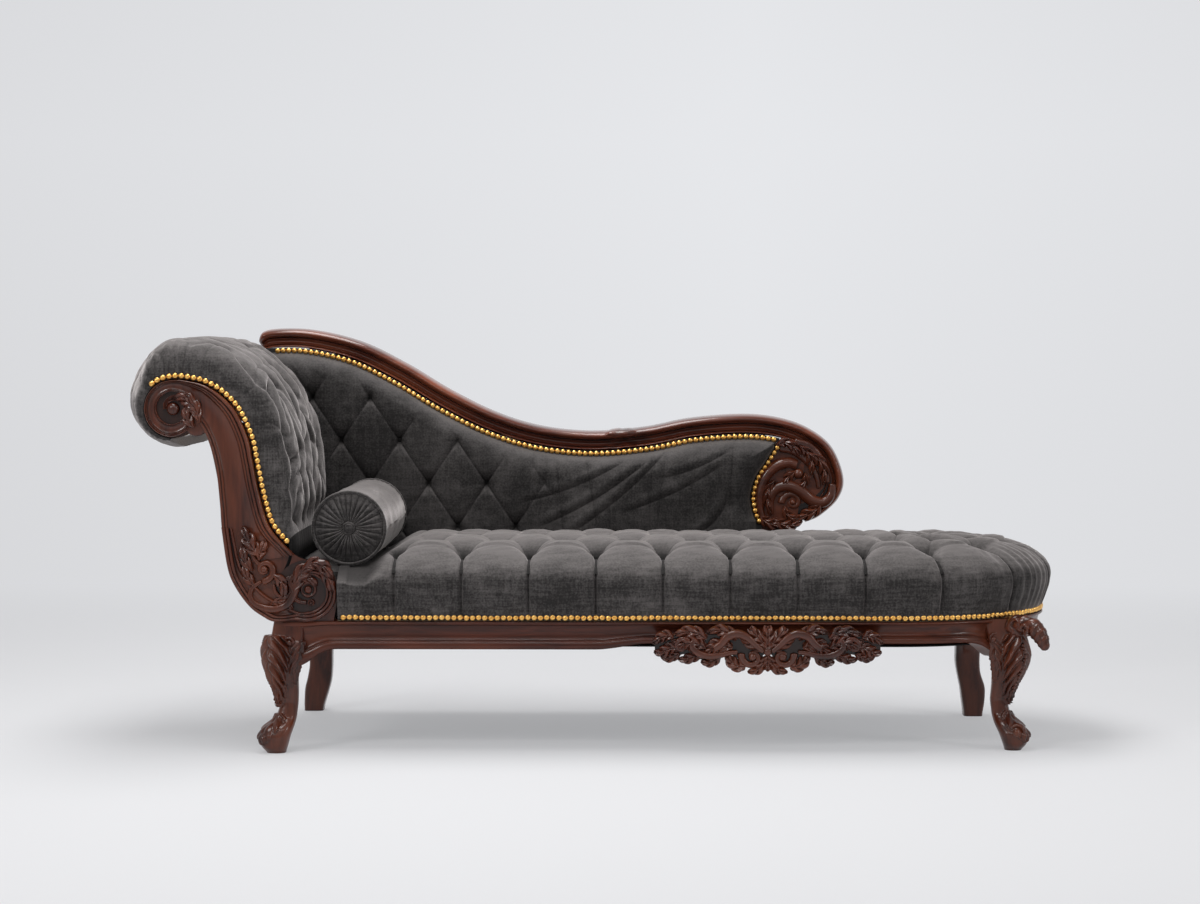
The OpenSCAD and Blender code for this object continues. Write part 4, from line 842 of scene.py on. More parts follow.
def backGrid(m, n):
    # fills the space between the head, the crest and the end scroll; the edges depend on x and z, so they are
    # found by going round a few times
    u, w = grid(np.linspace(0, 1, m), np.linspace(0, 1, n))
    line, normal, thick = headLine()[:3]
    left = (line - normal * (thick * 0.8)[:, None])[:9 * headSteps]
    left = left[np.argsort(left[:, 1])]
    top = crestInner[20:crestEnd]
    x, z = -600 + 980 * u, back["low"] + 400 * w
    for attempt in range(12):
        leftX = np.interp(z, left[:, 1], left[:, 0])
        rightX = np.interp(z, scrollEdge[::-1, 1], scrollEdge[::-1, 0])
        x = leftX + (rightX - leftX) * u
        z = back["low"] + (np.interp(x, top[:, 0], top[:, 1]) - back["low"]) * w
    rightX = np.interp(z, scrollEdge[::-1, 1], scrollEdge[::-1, 0])
    return x, z, np.interp(x, top[:, 0], top[:, 1]) - z, rightX - x


def plainFolds(x, z, fromTop):
    # how far pleats and slack folds stand out on the plain part, and their painted shade
    plain = ease((x + 200) / 110)
    h, hollow = np.zeros_like(x), np.zeros_like(x)
    for px, width, depth, lean in back["pleats"]:
        d = x - px - lean * (fromTop - 40)
        reach = ease((fromTop - 12) / 20) * (1 - ease((fromTop - 150) / 90)) * plain
        h = h + depth * reach * (0.7 * hill(d - 12, 9) - valley(d, width))
        hollow = np.maximum(hollow, 0.55 * valley(d, 2.2) * reach)
    for x0, z0, x1, z1, depth in back["slack"]:
        dx, dz = x1 - x0, z1 - z0
        size = math.hypot(dx, dz)
        a = ((x - x0) * dx + (z - z0) * dz) / size
        d = ((x - x0) * dz - (z - z0) * dx) / size + 10 * np.sin(a / size * pi)
        reach = ease((a + 20) / 60) * ease((size + 20 - a) / 60)
        h = h + depth * reach * (0.8 * hill(d - 13, 11) - valley(d, 5.5))
        hollow = np.maximum(hollow, 0.5 * valley(d, 2.4) * reach)
    away = np.hypot(x - back["lastTuft"][0], z - back["lastTuft"][1])
    return h - 8 * hill(away, 22, 1.3), np.maximum(hollow, 0.6 * hill(away, 8))


def makeBack():
    x, z, fromTop, fromRight = backGrid(400, 200)
    i, k = (x - back["tuftX"]) / back["columnPitch"], (back["tuftZ"] - z) / back["rowPitch"]
    h, hollow, away = latticeHeight(i, k, 0.026, back["pillow"], back["creaseDip"], back["buttonDip"],
                                    back["pit"], lop=1.0)
    inside = (1 - ease((x + 175) / 90)) * ease((fromTop - 30) / 45)
    foldHeight, foldHollow = plainFolds(x, z, fromTop)
    h = h * inside + foldHeight + 1.5 * ripples(x, z, 160, 31) + 0.45 * ripples(x, z, 36, 32)
    edge = np.minimum(fromTop, fromRight) - 12
    full = np.sqrt(np.clip(1 - (1 - np.clip(edge / 52, 0, 1)) ** 2, 0, 1))
    p = xyz(x, couch["backFront"] - 4 - (back["pad"] - 8) * full - h * full, z)
    spots = tuftPlaces(p, away, 0.09, (inside > 0.6) & (full > 0.9) & (z > 380))
    tuftButtons("back_tuft_buttons", spots - (0, 1.5, 0), (0, -1, 0), buttonRadii["back"], "back_buttons")
    # painted shade in the creases and folds, and along the edge where the cushion meets the frame
    hollow = np.maximum(np.maximum(hollow * inside, foldHollow) * full, 0.35 * (1 - ease(edge / 10)))
    flat = pressed(p, couch["backFront"])
    parts = [patch(p, hollow=hollow, facing=(0, -1, 0), uv=np.stack([x, z], -1))]
    for column, way in ((-1, 1), (0, -1)):
        parts.append(patch(np.stack([p[:, column], flat[:, column]], 1), facing=(0, 0, way)))
    for row, way in ((0, -1), (-1, 1)):
        parts.append(patch(np.stack([p[row], flat[row]], 0), facing=(way, 0, 0)))
    parts.append(patch(flat[::6, ::6], facing=(0, 1, 0)))
    # painted shade: the back's cushion is in the darker velvet copy
    makePiece("back_velvet", parts, velvetBackShaded, stands=("back_cushion",), slot="velvet", fill=0.8)


makeBack()
print("back made")


# bolster

bolster = {
    "z": 449.8,
    "r": 75.0,
    "front": -281.4,
    "rear": 208.6,
    "pleats": 30,
    "cordR": 3.1,
    "middleR": 13.0,
    "middleRise": 6.5,
}


def aboutBolster(r, y, a):
    return np.stack([bolsterX + r * np.cos(a), y, bolster["z"] + r * np.sin(a)], -1)


def makeBolster():
    r, y0, y1 = bolster["r"], bolster["front"], bolster["rear"]
    around = turns(420)
    a, y = grid(around, np.linspace(y0 + 5, y1 - 5, 120))
    drawn = 0.5 * np.sin(a * 34 + 2 * np.sin(a * 5)) * (np.exp(-(y - y0) / 22) + np.exp(-(y1 - y) / 22))
    full = r - 1.5 + ripples(a * r, y, 120, 41) + drawn + 1.5 * np.sin((y - y0) / (y1 - y0) * pi)
    patches = [patch(aboutBolster(full, y, a), wrapU=True, uv=np.stack([a * r, y], -1))]
    # pleats drawn in to the middle of each end, with painted shade between them
    for side, end in ((-1, y0), (1, y1)):
        a, q = grid(around, np.linspace(0.12, 1, 44))
        wave = a * bolster["pleats"] / 2 + 0.25 * np.sin(a * 7) + 0.18 * np.sin(a * 13)
        ridge = np.abs(np.sin(wave)) ** 0.7
        puff = 9 * np.sin(np.clip((q - 0.05) / 0.95, 0, 1) * pi) ** 0.8 - 6 * (1 - ease(q / 0.4))
        depth = (2.2 + 6.2 * hill(q - 0.34, 0.34)) * (1 - ease((q - 0.88) / 0.12))
        y = end + side * (puff - 6 + depth * (ridge - 0.6))
        patches.append(patch(aboutBolster(q * (r - 3.2), y, a), wrapU=True, facing=(0, side, 0),
                             hollow=(1 - ridge) ** 1.3 * (0.45 + 0.55 * hill(q - 0.35, 0.4)),
                             uv=np.stack([a * 40, q * r], -1)))
    makePiece("bolster_velvet", patches, velvet, body="bolster", stands=("bolster_pillow",), slot="velvet",
              fill=0.95)


def makeBolsterTrim():
    cords, middles = [], []
    for side, end in ((-1, bolster["front"]), (1, bolster["rear"])):
        a, b = grid(turns(220), turns(14))
        tube = bolster["cordR"] * (1 + 0.05 * np.sin(a * 60))
        ring = aboutBolster(bolster["r"] - 1.8 + tube * np.cos(b), end - side * 3 + tube * np.sin(b), a)
        cords.append(patch(ring, wrapU=True, wrapV=True))
        a, q = grid(turns(64), np.linspace(0.001, 1, 18))
        dome = bolster["middleRise"] * np.sqrt(np.clip(1 - q ** 2.4, 0, 1)) - 1.4 * hill(q - 0.72, 0.1)
        middle = aboutBolster(q * bolster["middleR"], end + side * (dome - 1.5), a)
        # painted shade in the groove round each middle
        middles.append(patch(middle, wrapU=True, facing=(0, side, 0), hollow=0.6 * hill(q - 0.72, 0.08)))
    makePiece("bolster_cord", cords, velvet, body="bolster", stands=("bolster_piping",), slot="velvet")
    makePiece("bolster_middles", middles, velvet, body="bolster", stands=("bolster_buttons",), slot="velvet")


makeBolster()
makeBolsterTrim()
print("bolster made")


# nails

nails = {
    "radius": 5.9,
    "rise": 3.4,
    "pitch": 12.4,
    "first": -500.5,       # where the seat's row begins, by the head
    "rearEnd": 380,
    "seatZ": 273.2,
    "backY": 271.6,
}


def nailRow(name, places, normals, stands):
    domes = domesAt(places, normals, nails["radius"], nails["rise"])
    makePiece(name, domes, brass, stands=(stands,), slot="brass")


def makeNails():
    pitch, out, foot = nails["pitch"], couch["halfWidth"] + 0.6, couch["footX"]
    front = np.arange(nails["first"], foot, pitch)
    turn = np.arange(front[-1] + pitch - foot, pi * out, pitch) / out - pi / 2
    rear = np.arange(foot - 6, nails["rearEnd"], -pitch)
    angle = np.concatenate([np.full(len(front), -pi / 2), turn, np.full(len(rear), pi / 2)])
    start = np.concatenate([front, np.full(len(turn), foot), rear])
    z = nails["seatZ"] + chance.normal(0, 0.35, len(angle))
    normals = xyz(np.cos(angle), np.sin(angle), 0.12) + chance.normal(0, 0.05, (len(angle), 3))
    places = xyz(start + out * np.cos(angle), out * np.sin(angle), z)
    nailRow("seat_row_nails", places, normals, "seat_nails")
    line, normal = headLine()[:2]
    row = evenLine((line - normal * 8.1)[int(0.45 * headSteps):int(10.4 * headSteps)], pitch)
    normals = np.array([0, -1.0, 0.1]) + chance.normal(0, 0.05, (len(row), 3))
    nailRow("head_row_nails", xyz(row[:, 0], head["front"] - 3.6, row[:, 1]), normals, "head_nails")
    row = evenLine((crestLine - crestNormal * (couch["crestWidth"] + 5.8))[19:crestEnd - 8], pitch)
    normals = np.array([0, -1.0, -0.15]) + chance.normal(0, 0.05, (len(row), 3))
    nailRow("back_row_nails", xyz(row[:, 0], nails["backY"], row[:, 1]), normals, "back_nails")
    row = evenLine(scrollEdge - [5.8, 0], pitch)
    nailRow("scroll_row_nails", xyz(row[:, 0], nails["backY"], row[:, 1]), (0, -1, 0), "scroll_nails")


makeNails()
print("nails made")


# carving tools: what they make lies on the front of the wood, which looks towards -Y

def between(a, b, count):
    # places from one edge to the other
    c = np.linspace(0, 1, count)[None, :, None]
    return a[:, None, :] * (1 - c) + b[:, None, :] * c


def ribbon(outer, inner, relief, plane, across, sink=7.0):
    # a moulded band between two lines; relief(distance from outer, distance from inner) says how far it
    # stands out
    outer, inner = smoothLine(outer, 12), smoothLine(inner, 12)
    xz = between(outer, inner, across)
    c = np.linspace(0, 1, across)[None, :]
    atEdge = (c < 0.001) | (c > 0.999)
    width = np.linalg.norm(outer - inner, axis=1)[:, None]
    out = np.where(atEdge, 0, relief(width * c, width * (1 - c)))
    step = np.maximum(width / (across - 1), 0.05)
    # glaze and painted shade where the relief curves in
    curl = np.gradient(np.gradient(out, axis=1), axis=1) / step ** 2
    hollow = np.clip(curl * 1.5, 0, 0.95) * (c > 0.03) * (c < 0.97)
    p = xyz(xz[..., 0], plane - np.where(atEdge, -sink, out), xz[..., 1])
    return patch(p, facing=(0, -1, 0), hollow=hollow)


def closeTips(p):
    # draws both ends of a tube together
    for k in (0, -1):
        p[k] = p[k].mean(0)
    return p


def stem(line, plane, rStart, rEnd, rise, grooves=0, swell=0.0):
    # a tapering half-buried round stem along a plane line, for scrolls; grooves run lengthwise
    line = np.asarray(line, float)
    s = lengthsOf(line) / lengthsOf(line)[-1]
    r = ((rStart + (rEnd - rStart) * s) * (1 + swell * np.sin(pi * s)))[:, None]
    n = leftNormals(line)
    b = np.linspace(-pi / 2 - 0.35, pi / 2 + 0.35, 17)
    across = np.sin(b) * r
    groove = (np.cos(b * (2 * grooves)) * 0.5 + 0.5) * (grooves > 0)
    out = np.cos(b) * r * rise * (1 - 0.13 * groove)
    p = closeTips(xyz(line[:, :1] + n[:, :1] * across, plane - out, line[:, 1:] + n[:, 1:] * across))
    # glaze and painted shade at the buried edges and in the grooves
    edge = np.clip(np.abs(b) / (pi / 2), 0, 1)
    return patch(p, facing=(0, -1, 0), hollow=0.75 * edge ** 5 + 0.3 * groove)


def boss(at, plane, r, rise, dish=0.0):
    # a round knob or, with a dish, a small rosette, at the one place in the list
    x, z = at[0]
    a, q = grid(turns(40), np.linspace(0.01, 1, 16))
    out = rise * np.sqrt(np.clip(1 - q ** 2, 0, 1)) - dish * hill(q - 0.55, 0.16) - 1.2 * (q > 0.99)
    # glaze and painted shade in the dish and round the rim
    hollow = np.clip(dish / 4, 0, 1) * hill(q - 0.55, 0.14) + 0.5 * (q > 0.93)
    return patch(xyz(x + r * q * np.cos(a), plane - out, z + r * q * np.sin(a)), wrapU=True,
                 facing=(0, -1, 0), hollow=hollow)


def leaf(spine, plane, width, rise, lobes, tipCurl=0.0, cut=0.5, fullness=(0.35, 0.85, 1.0, 0.95, 0.62, 0.1)):
    # an acanthus leaf on a curved spine: side lobes with a rib each, deep cuts between, a grooved mid rib
    spine = evenLine(smoothLine(spine, 12), 1.3)
    n = leftNormals(spine)
    along = np.stack([n[:, 1], -n[:, 0]], 1)
    u = np.linspace(0, 1, len(spine))[:, None]
    v = np.linspace(-1, 1, 37)
    av = np.abs(v)
    w = width * np.interp(u, np.linspace(0, 1, len(fullness)), fullness)
    phase = lobes * (u * 1.05 - 0.22 * av ** 1.5) + 0.25
    frac = phase - np.floor(phase)
    lobe = np.sin(pi * frac) ** 0.42
    reach = v * w * (1 - 0.85 * cut * (1 - lobe) * av ** 1.2)
    gap = (1 - lobe) * av ** 0.7
    rib = 0.35 * hill(frac - 0.5, 0.12) * av ** 0.6 * (1 - av ** 4)
    body = (1 - 0.55 * av ** 2) * (0.55 + 0.45 * lobe)
    eye = 0.5 * hill(frac, 0.12) * hill(av - 0.45, 0.16)
    out = rise * (body + rib - 0.28 * hill(av, 0.07) - 0.4 * gap - eye) * (0.75 + 0.25 * np.sin(pi * u))
    out = np.where(av > 0.985, -3.0, out + tipCurl * u ** 3 * (1 - av ** 2))
    # lobes lean towards the tip
    lean = 0.2 * av * w * lobe
    p = xyz(spine[:, :1] + n[:, :1] * reach + along[:, :1] * lean, plane - out,
            spine[:, 1:] + n[:, 1:] * reach + along[:, 1:] * lean)
    # glaze and painted shade in the cuts, along the mid rib and in the eyes
    return patch(p, facing=(0, -1, 0), hollow=0.85 * gap ** 1.5 + 0.56 * hill(av, 0.05) + eye * 1.6)


def frond(spine, plane, width, rise, lobes, tipCurl=0.0, fullness=(0.5, 0.9, 1.0, 0.9, 0.6, 0.15)):
    # a fuller leaf with shallow cuts
    return leaf(spine, plane, width * 1.22, rise + 1.5, lobes, tipCurl, 0.26, fullness)


def carve(rows, plane, middle=0.0, side=1):
    # parts from rows of (tool, its line, how far before the plane, the tool's other measures); side -1
    # mirrors them at the middle
    parts = []
    for tool, line, before, *more in rows:
        placed = [(middle + side * x, z) for x, z in line]
        parts.append(tool(placed, plane - before, *more))
    return parts


def disc(centre, rx, rz, y, way, points, rings, hollow):
    # a flat round ground, facing the front or the rear, darkened by its hollow as glaze and painted shade
    a, q = grid(turns(points), np.linspace(0.02, 1, rings))
    flat = xyz(centre[0] + rx * q * np.cos(a), y, centre[1] + rz * q * np.sin(a))
    return patch(flat, wrapU=True, facing=(0, way, 0), hollow=hollow)


# front head scroll

headPost = {
    "plane": -328.6,
    "rear": -282.6,
    "upperTurns": (90, 120, 150, 180, 210, 240, 268, 300, 330, 360, 390, 420, 450, 480, 510, 540),
    "upperOuter": (58, 58, 58, 58, 58, 57.5, 56, 52, 47, 41, 35.5, 31, 27.5, 24.5, 22, 20),
    "upperInner": (35, 34.5, 34, 33.5, 33, 32, 30.5, 28.5, 25.5, 22.5, 20, 17.5, 15.5, 14, 13, 12.5),
    "lowerTurns": (250, 270, 300, 330, 360, 390, 420, 450, 480, 510, 540, 570, 600, 630),
    "lowerOuter": (63, 62, 62, 62, 61.5, 59, 55, 50, 44.5, 39.5, 35, 31.5, 29, 27),
    "lowerInner": (45, 42, 41.5, 41, 40, 38, 35.5, 32.5, 29, 26, 23, 21, 19.5, 18.5),
    # shares of the head's run and rise along the post's left edge, and where that edge runs under the lower
    # volute
    "innerShares": [(0.595, 0.13), (0.63, 0.28), (0.65, 0.47), (0.675, 0.65), (0.72, 0.79), (0.77, 0.88)],
    "underShares": [(0.64, 0.35), (0.595, 0.13), (0.535, 0.02), (0.43, -0.085), (0.33, -0.14),
                    (0.24, -0.169)],
    "upperStart": [(-797, 678), (-801, 697), (-815, 717)],
    "lowerStart": [(-722, 452), (-706, 378), (-684, 345), (-660, 321), (-637, 306), (-616, 296)],
    "groundEdge": [(-520, 264.5), (-512.5, 312), (-513, 345), (-532, 374), (-563, 386)],
}
headCarving = [
    (leaf, [(-790, 674), (-800, 700), (-820, 716), (-838, 712)], 4, 16.2, 8, 3),
    (leaf, [(-786, 664), (-793, 690), (-805, 706), (-812, 722)], 6, 12.15, 7, 3),
    (leaf, [(-798, 655), (-808, 668), (-814, 684), (-812, 698)], 4, 12.15, 7, 2),
    (leaf, [(-662, 396), (-678, 410), (-690, 430), (-702, 456)], 2, 16.2, 9, 3, 2),
    (leaf, [(-668, 388), (-666, 404), (-660, 416), (-656, 430)], 3, 12.15, 8, 2),
    (leaf, [(-682, 366), (-694, 384), (-700, 402), (-702, 420)], 3, 10.8, 7, 2),
    (leaf, [(-676, 336), (-688, 348), (-696, 366), (-698, 382)], 3, 10.8, 7, 2),
    (leaf, [(-640, 360), (-626, 348), (-618, 330), (-622, 312)], 4, 12.15, 8, 2),
    (leaf, [(-600, 318), (-594, 346), (-576, 370), (-552, 378)], 4, 17.55, 9, 3, 2),
    (leaf, [(-580, 372), (-556, 382), (-534, 372), (-520, 352)], 6, 14.85, 9, 3),
    (leaf, [(-548, 366), (-532, 354), (-524, 338), (-522, 322)], 5, 12.15, 8, 2),
    (leaf, [(-590, 350), (-574, 352), (-560, 346), (-552, 336)], 4, 9.45, 6, 2),
    (leaf, [(-646, 300), (-630, 304), (-612, 300), (-600, 290)], 3, 9.45, 6, 3),
    (stem, spiralLine((-658, 370), 25, 5, -100, 330, 70), 3, 7.5, 4.5, 1.15, 2),
    (stem, smoothLine([(-664, 346), (-684, 330), (-684, 308), (-664, 294), (-636, 290), (-612, 300),
                       (-598, 322), (-590, 346), (-574, 368), (-552, 378)], 10), 3, 3.5, 5.5, 1.15, 2, 0.9),
    (stem, smoothLine([(-640, 340), (-634, 322), (-620, 312), (-606, 322), (-604, 342), (-612, 356)], 10),
     3, 3.0, 5.5, 1.1, 2),
    (stem, smoothLine([(-690, 426), (-684, 404), (-676, 388), (-664, 376)], 10), 3, 2.0, 5.0, 1.0, 1),
    (stem, spiralLine((-806, 690), 20, 5, -60, 250, 50), 4, 5.5, 3.5, 1.1, 2),
    (boss, [(-658, 370)], 4, 7.5, 9),
    (boss, [(-564, 303)], 5, 7, 6, 3.2),
    (boss, [(-806, 690)], 5, 5, 6),
]


def postRelief(fromOuter, fromInner):
    # three ridges at the outer edge, a wide hollow, a double bead at the inner edge
    fit = np.clip((fromOuter + fromInner) / 78.0, 0.28, 1)
    o, i = fromOuter / fit, fromInner / fit
    out = bead(o, 4.8, 4.6) * 1.5 + bead(o, 13.0, 3.4) * 1.5 + bead(o, 19.2, 2.5) * 1.2
    out = out + bead(i, 3.8, 3.5) * 1.4 + bead(i, 10.0, 2.5) * 1.2
    t = np.clip((o - 22.0) / np.maximum(o + i - 22.0 - 13, 1), 0, 1)
    return out * fit ** 0.5 - 7.5 * np.sin(pi * t) ** 0.7 * fit


def voluteRelief(fromOuter, fromInner):
    # two ridges at the outer edge, a hollow, a bead at the inner edge
    t = np.clip((fromOuter - 14) / np.maximum(fromOuter + fromInner - 19, 1), 0, 1)
    ridges = bead(fromOuter, 4, 3.8) * 1.1 + bead(fromOuter, 11.5, 3.2)
    return ridges + bead(fromInner, 2.6, 2.4) * 0.9 - 3.0 * np.sin(pi * t)


def headGround(plane):
    # the ground behind the carving, and its edge going back to the frame
    def inSteps(line):
        a = evenLine(line, 6.0)
        return sampled(a, np.linspace(0, 1, len(a)), np.linspace(0, 1, 90))

    leftEdge = smoothLine(onHead(leftShares), 12)
    low = smoothLine(headPost["groundEdge"] + onHead(rightShares[:6]), 12)
    xz = between(inSteps(leftEdge), inSteps(low), 30)
    outline = np.concatenate([leftEdge, around(upperEye, range(-40, -290, -6), 59.5)])
    q = np.linspace(0, 1, 8)
    wall = xyz(outline[:, :1], plane + 3 + (headPost["rear"] - plane - 3) * q, outline[:, 1:])
    return [patch(xyz(xz[..., 0], plane + 6.5, xz[..., 1]), facing=(0, -1, 0)),
            # glaze and painted shade on the grounds under the volutes
            disc(upperEye, couch["upperR"], couch["upperR"], plane + 3.0, -1, 72, 20, 0.75),
            disc(lowerEye, couch["lowerR"], couch["lowerR"], plane + 3.0, -1, 72, 20, 0.75),
            boss([(-794, 662)], plane + 4, 25, 3),
            patch(wall, facing=(-1, 0, 0))]


def makeHeadScroll():
    # the lower scroll's left edge runs under the volute and curls up inside it
    plane, post = headPost["plane"], headPost
    upperOuter = onHead(rightShares) + around(upperEye, post["upperTurns"], post["upperOuter"])
    upperInner = onHead(post["innerShares"]) + post["upperStart"]
    upperInner += around(upperEye, post["upperTurns"], post["upperInner"])
    lowerOuter = onHead(post["underShares"]) + around(lowerEye, post["lowerTurns"], post["lowerOuter"])
    lowerInner = post["lowerStart"] + around(lowerEye, post["lowerTurns"], post["lowerInner"])
    bands = [ribbon(upperOuter, upperInner, postRelief, plane - 2, 84),
             boss([upperEye], plane + 1, 13.5, 13),
             ribbon(lowerOuter, lowerInner, voluteRelief, plane - 4, 50),
             boss([(-570, 329)], plane + 1, 17.0, 6, 4.5)]
    parts = bands + headGround(plane) + carve(headCarving, plane)
    makePiece("head_scroll_carved", parts, mahoganyUp, stands=("front_head_scroll",))


makeHeadScroll()
print("head scroll made")


# crest rail

crest = {
    # share of the rail's width from its outer edge, and share of its thickness
    "profile": [(0, 0.05), (0.02, 0.42), (0.06, 0.7), (0.12, 0.9), (0.2, 0.99), (0.28, 1.0), (0.36, 0.94),
                (0.42, 0.82), (0.455, 0.66), (0.475, 0.60), (0.5, 0.66), (0.54, 0.62), (0.62, 0.56),
                (0.70, 0.58), (0.76, 0.68), (0.785, 0.70), (0.80, 0.62), (0.82, 0.68), (0.86, 0.80),
                (0.91, 0.84), (0.96, 0.78), (0.99, 0.64), (1.0, 0.45), (1.0, 0.0)],
    "collarMiddle": 50.0,
    "collarHalf": 30.0,
}


def crestCollar(x, q):
    # a leaf collar laps over the rail near its middle: how much of it, how high and how dark it is painted at
    # each point
    t = np.abs(x - crest["collarMiddle"]) / crest["collarHalf"]
    lobes = np.abs(np.sin(pi * (q * 3.0 + 0.1)))
    edge = 1 - 0.38 * (1 - lobes)
    inCollar = 1 - ease((t - edge + 0.14) / 0.14)
    rib = np.cos((t * 3.2 + q * 2.0) * 2 * pi) * 0.5
    bump = 4.4 + rib * 2.6 - 2.6 * valley(t, 0.12) - 1.8 * (1 - lobes) + 3.2 * hill(t - 0.04, 0.05)
    dark = 0.5 * inCollar * np.clip(0.5 - rib, 0, 1)
    return inCollar, inCollar * bump, dark, 0.5 * hill(t - edge, 0.06) * (t < 1.15)


def makeCrest():
    prof = smoothLine(crest["profile"], 4)
    q, thick = prof[:, 0], np.clip(prof[:, 1], 0, 1.05)
    s = lengthsOf(crestLine)[:, None]
    nose = np.sqrt(np.clip(1 - (1 - np.clip(s / 20.0, 0, 1)) ** 2, 0.0004, 1))
    endFade = 1 - 0.35 * ease((s - (s[-1] - 120)) / 120)
    inward = ((q - 0.5) * nose + 0.5) * endFade * couch["crestWidth"]
    inCollar, bump, dark, rim = crestCollar(crestLine[:, :1], q)
    # glaze and painted shade in the rail's grooves, in the collar and along its edge
    grooves = 0.8 * valley(q - 0.475, 0.012) + 0.8 * valley(q - 0.8, 0.012) + 0.35 * valley(q - 0.62, 0.09)
    hollow = np.maximum(np.clip(grooves, 0, 1) * (1 - inCollar), dark) + rim
    out = thick * couch["crestThick"] * nose ** 0.6 + bump * (thick > 0.1)
    inward = inward - bump * 0.7 * (1 - q) ** 3
    rear = couch["backRear"]
    p = xyz(crestLine[:, :1] - crestNormal[:, :1] * inward, rear - out,
            crestLine[:, 1:] - crestNormal[:, 1:] * inward)
    parts = [patch(p, hollow=hollow), patch(pressed(p[:, [0, -1]], rear), facing=(0, 1, 0))]
    for k, way in ((0, (-1, 0, 0)), (-1, (-0.3, 0, -1))):
        parts.append(patch(np.stack([p[k], pressed(p[k], rear)], 0), facing=way))
    # painted light: the crest takes the lighter mahogany copy
    makePiece("crest_moulding", parts, mahoganyCrestLit, stands=("crest_rail", "crest_collar"))


endScroll = {
    "plane": couch["backFront"] + 6,
    "centre": (452, 503),
    "reach": (68, 66),
}
# the inside of the scroll: leaf sheath, round-bodied curl, deep acanthus lobes
endCarving = [
    (stem, smoothLine([(368, 430), (361, 462), (362, 498), (374, 528), (396, 550), (424, 558),
                       (444, 552)], 12), 5, 8, 12, 1.3, 0, 0.3),
    (stem, smoothLine([(386, 440), (384, 476), (398, 500), (426, 506), (452, 494), (478, 474), (502, 470),
                       (518, 486), (522, 512)], 12), 5, 7, 8, 1.35, 1, 0.9),
    (stem, smoothLine([(404, 590), (430, 586), (452, 574), (474, 552), (488, 524), (492, 500)], 12),
     5, 9, 5, 1.3, 2, 0.3),
    (stem, smoothLine([(436, 606), (470, 594), (496, 566), (508, 536), (510, 512)], 12), 4, 8, 6, 1.3, 2, 0.3),
    (stem, spiralLine((434, 470), 26, 6, 190, -190, 60), 6, 9, 5, 1.3, 1),
    (leaf, [(396, 596), (416, 602), (438, 592), (454, 570)], 9, 14, 12, 3, 3),
    (leaf, [(448, 596), (468, 578), (476, 556), (474, 530)], 10, 14, 13, 3, 3),
    (leaf, [(476, 580), (496, 560), (504, 536), (502, 508)], 9, 13, 12, 3, 3),
    (leaf, [(498, 470), (482, 452), (460, 440), (438, 432)], 8, 15, 12, 3, 3),
    (leaf, [(394, 520), (380, 498), (378, 470), (388, 442)], 9, 12, 12, 3, 2),
    (leaf, [(440, 540), (426, 528), (418, 512), (420, 496)], 8, 12, 12, 2),
    (leaf, [(416, 462), (420, 446), (434, 436), (450, 434)], 9, 11, 10, 2),
    (leaf, [(462, 536), (462, 518), (452, 504), (440, 500)], 9, 11, 11, 2),
    (leaf, [(350, 590), (366, 596), (386, 596), (402, 588)], 5, 9, 8, 2),
    (leaf, [(362, 442), (372, 430), (390, 422), (412, 420)], 8, 15, 10, 3, 2),
    (leaf, [(392, 432), (412, 422), (434, 420), (456, 428)], 9, 15, 11, 3, 2),
    (boss, [(446, 534)], 8, 12, 13),
    (boss, [(434, 470)], 9, 7, 9),
]


def makeEndScroll():
    plane = endScroll["plane"]
    parts = carve(endCarving, plane)
    for y, way in ((plane + 5, -1), (plane + 12, 1)):
        # glaze and painted shade on the scroll's ground
        parts.append(disc(endScroll["centre"], *endScroll["reach"], y, way, 60, 14, 0.85))
    makePiece("end_scroll_carving", parts, mahoganyCarved)


makeCrest()
makeEndScroll()
print("crest made")


# seat rails

rail = {
    # depth from the outer face, and share of the height
    "profile": [(44, 1.0), (2, 1.0), (-0.5, 0.985), (-2.0, 0.95), (-2.2, 0.915), (-1.2, 0.885), (0.6, 0.868),
                (2.2, 0.862), (3.4, 0.83), (5.6, 0.74), (7.4, 0.62), (7.8, 0.5), (6.6, 0.4), (4.0, 0.335),
                (1.8, 0.315), (1.6, 0.29), (-0.6, 0.26), (-2.4, 0.2), (-3.0, 0.13), (-2.2, 0.06), (0.2, 0.01),
                (3.0, 0.0), (44, 0.0)],
    "spacing": 5.0,
    "headEnd": -622,
    "rearEnd": 350,
}


def railLow(x):
    # lower edge: level, dipping to the head leg, a little higher from the carving on
    return couch["legHeight"] + 12 * ease((x - 5) / 115) - 34 * ease((-500 - x) / 92) ** 2


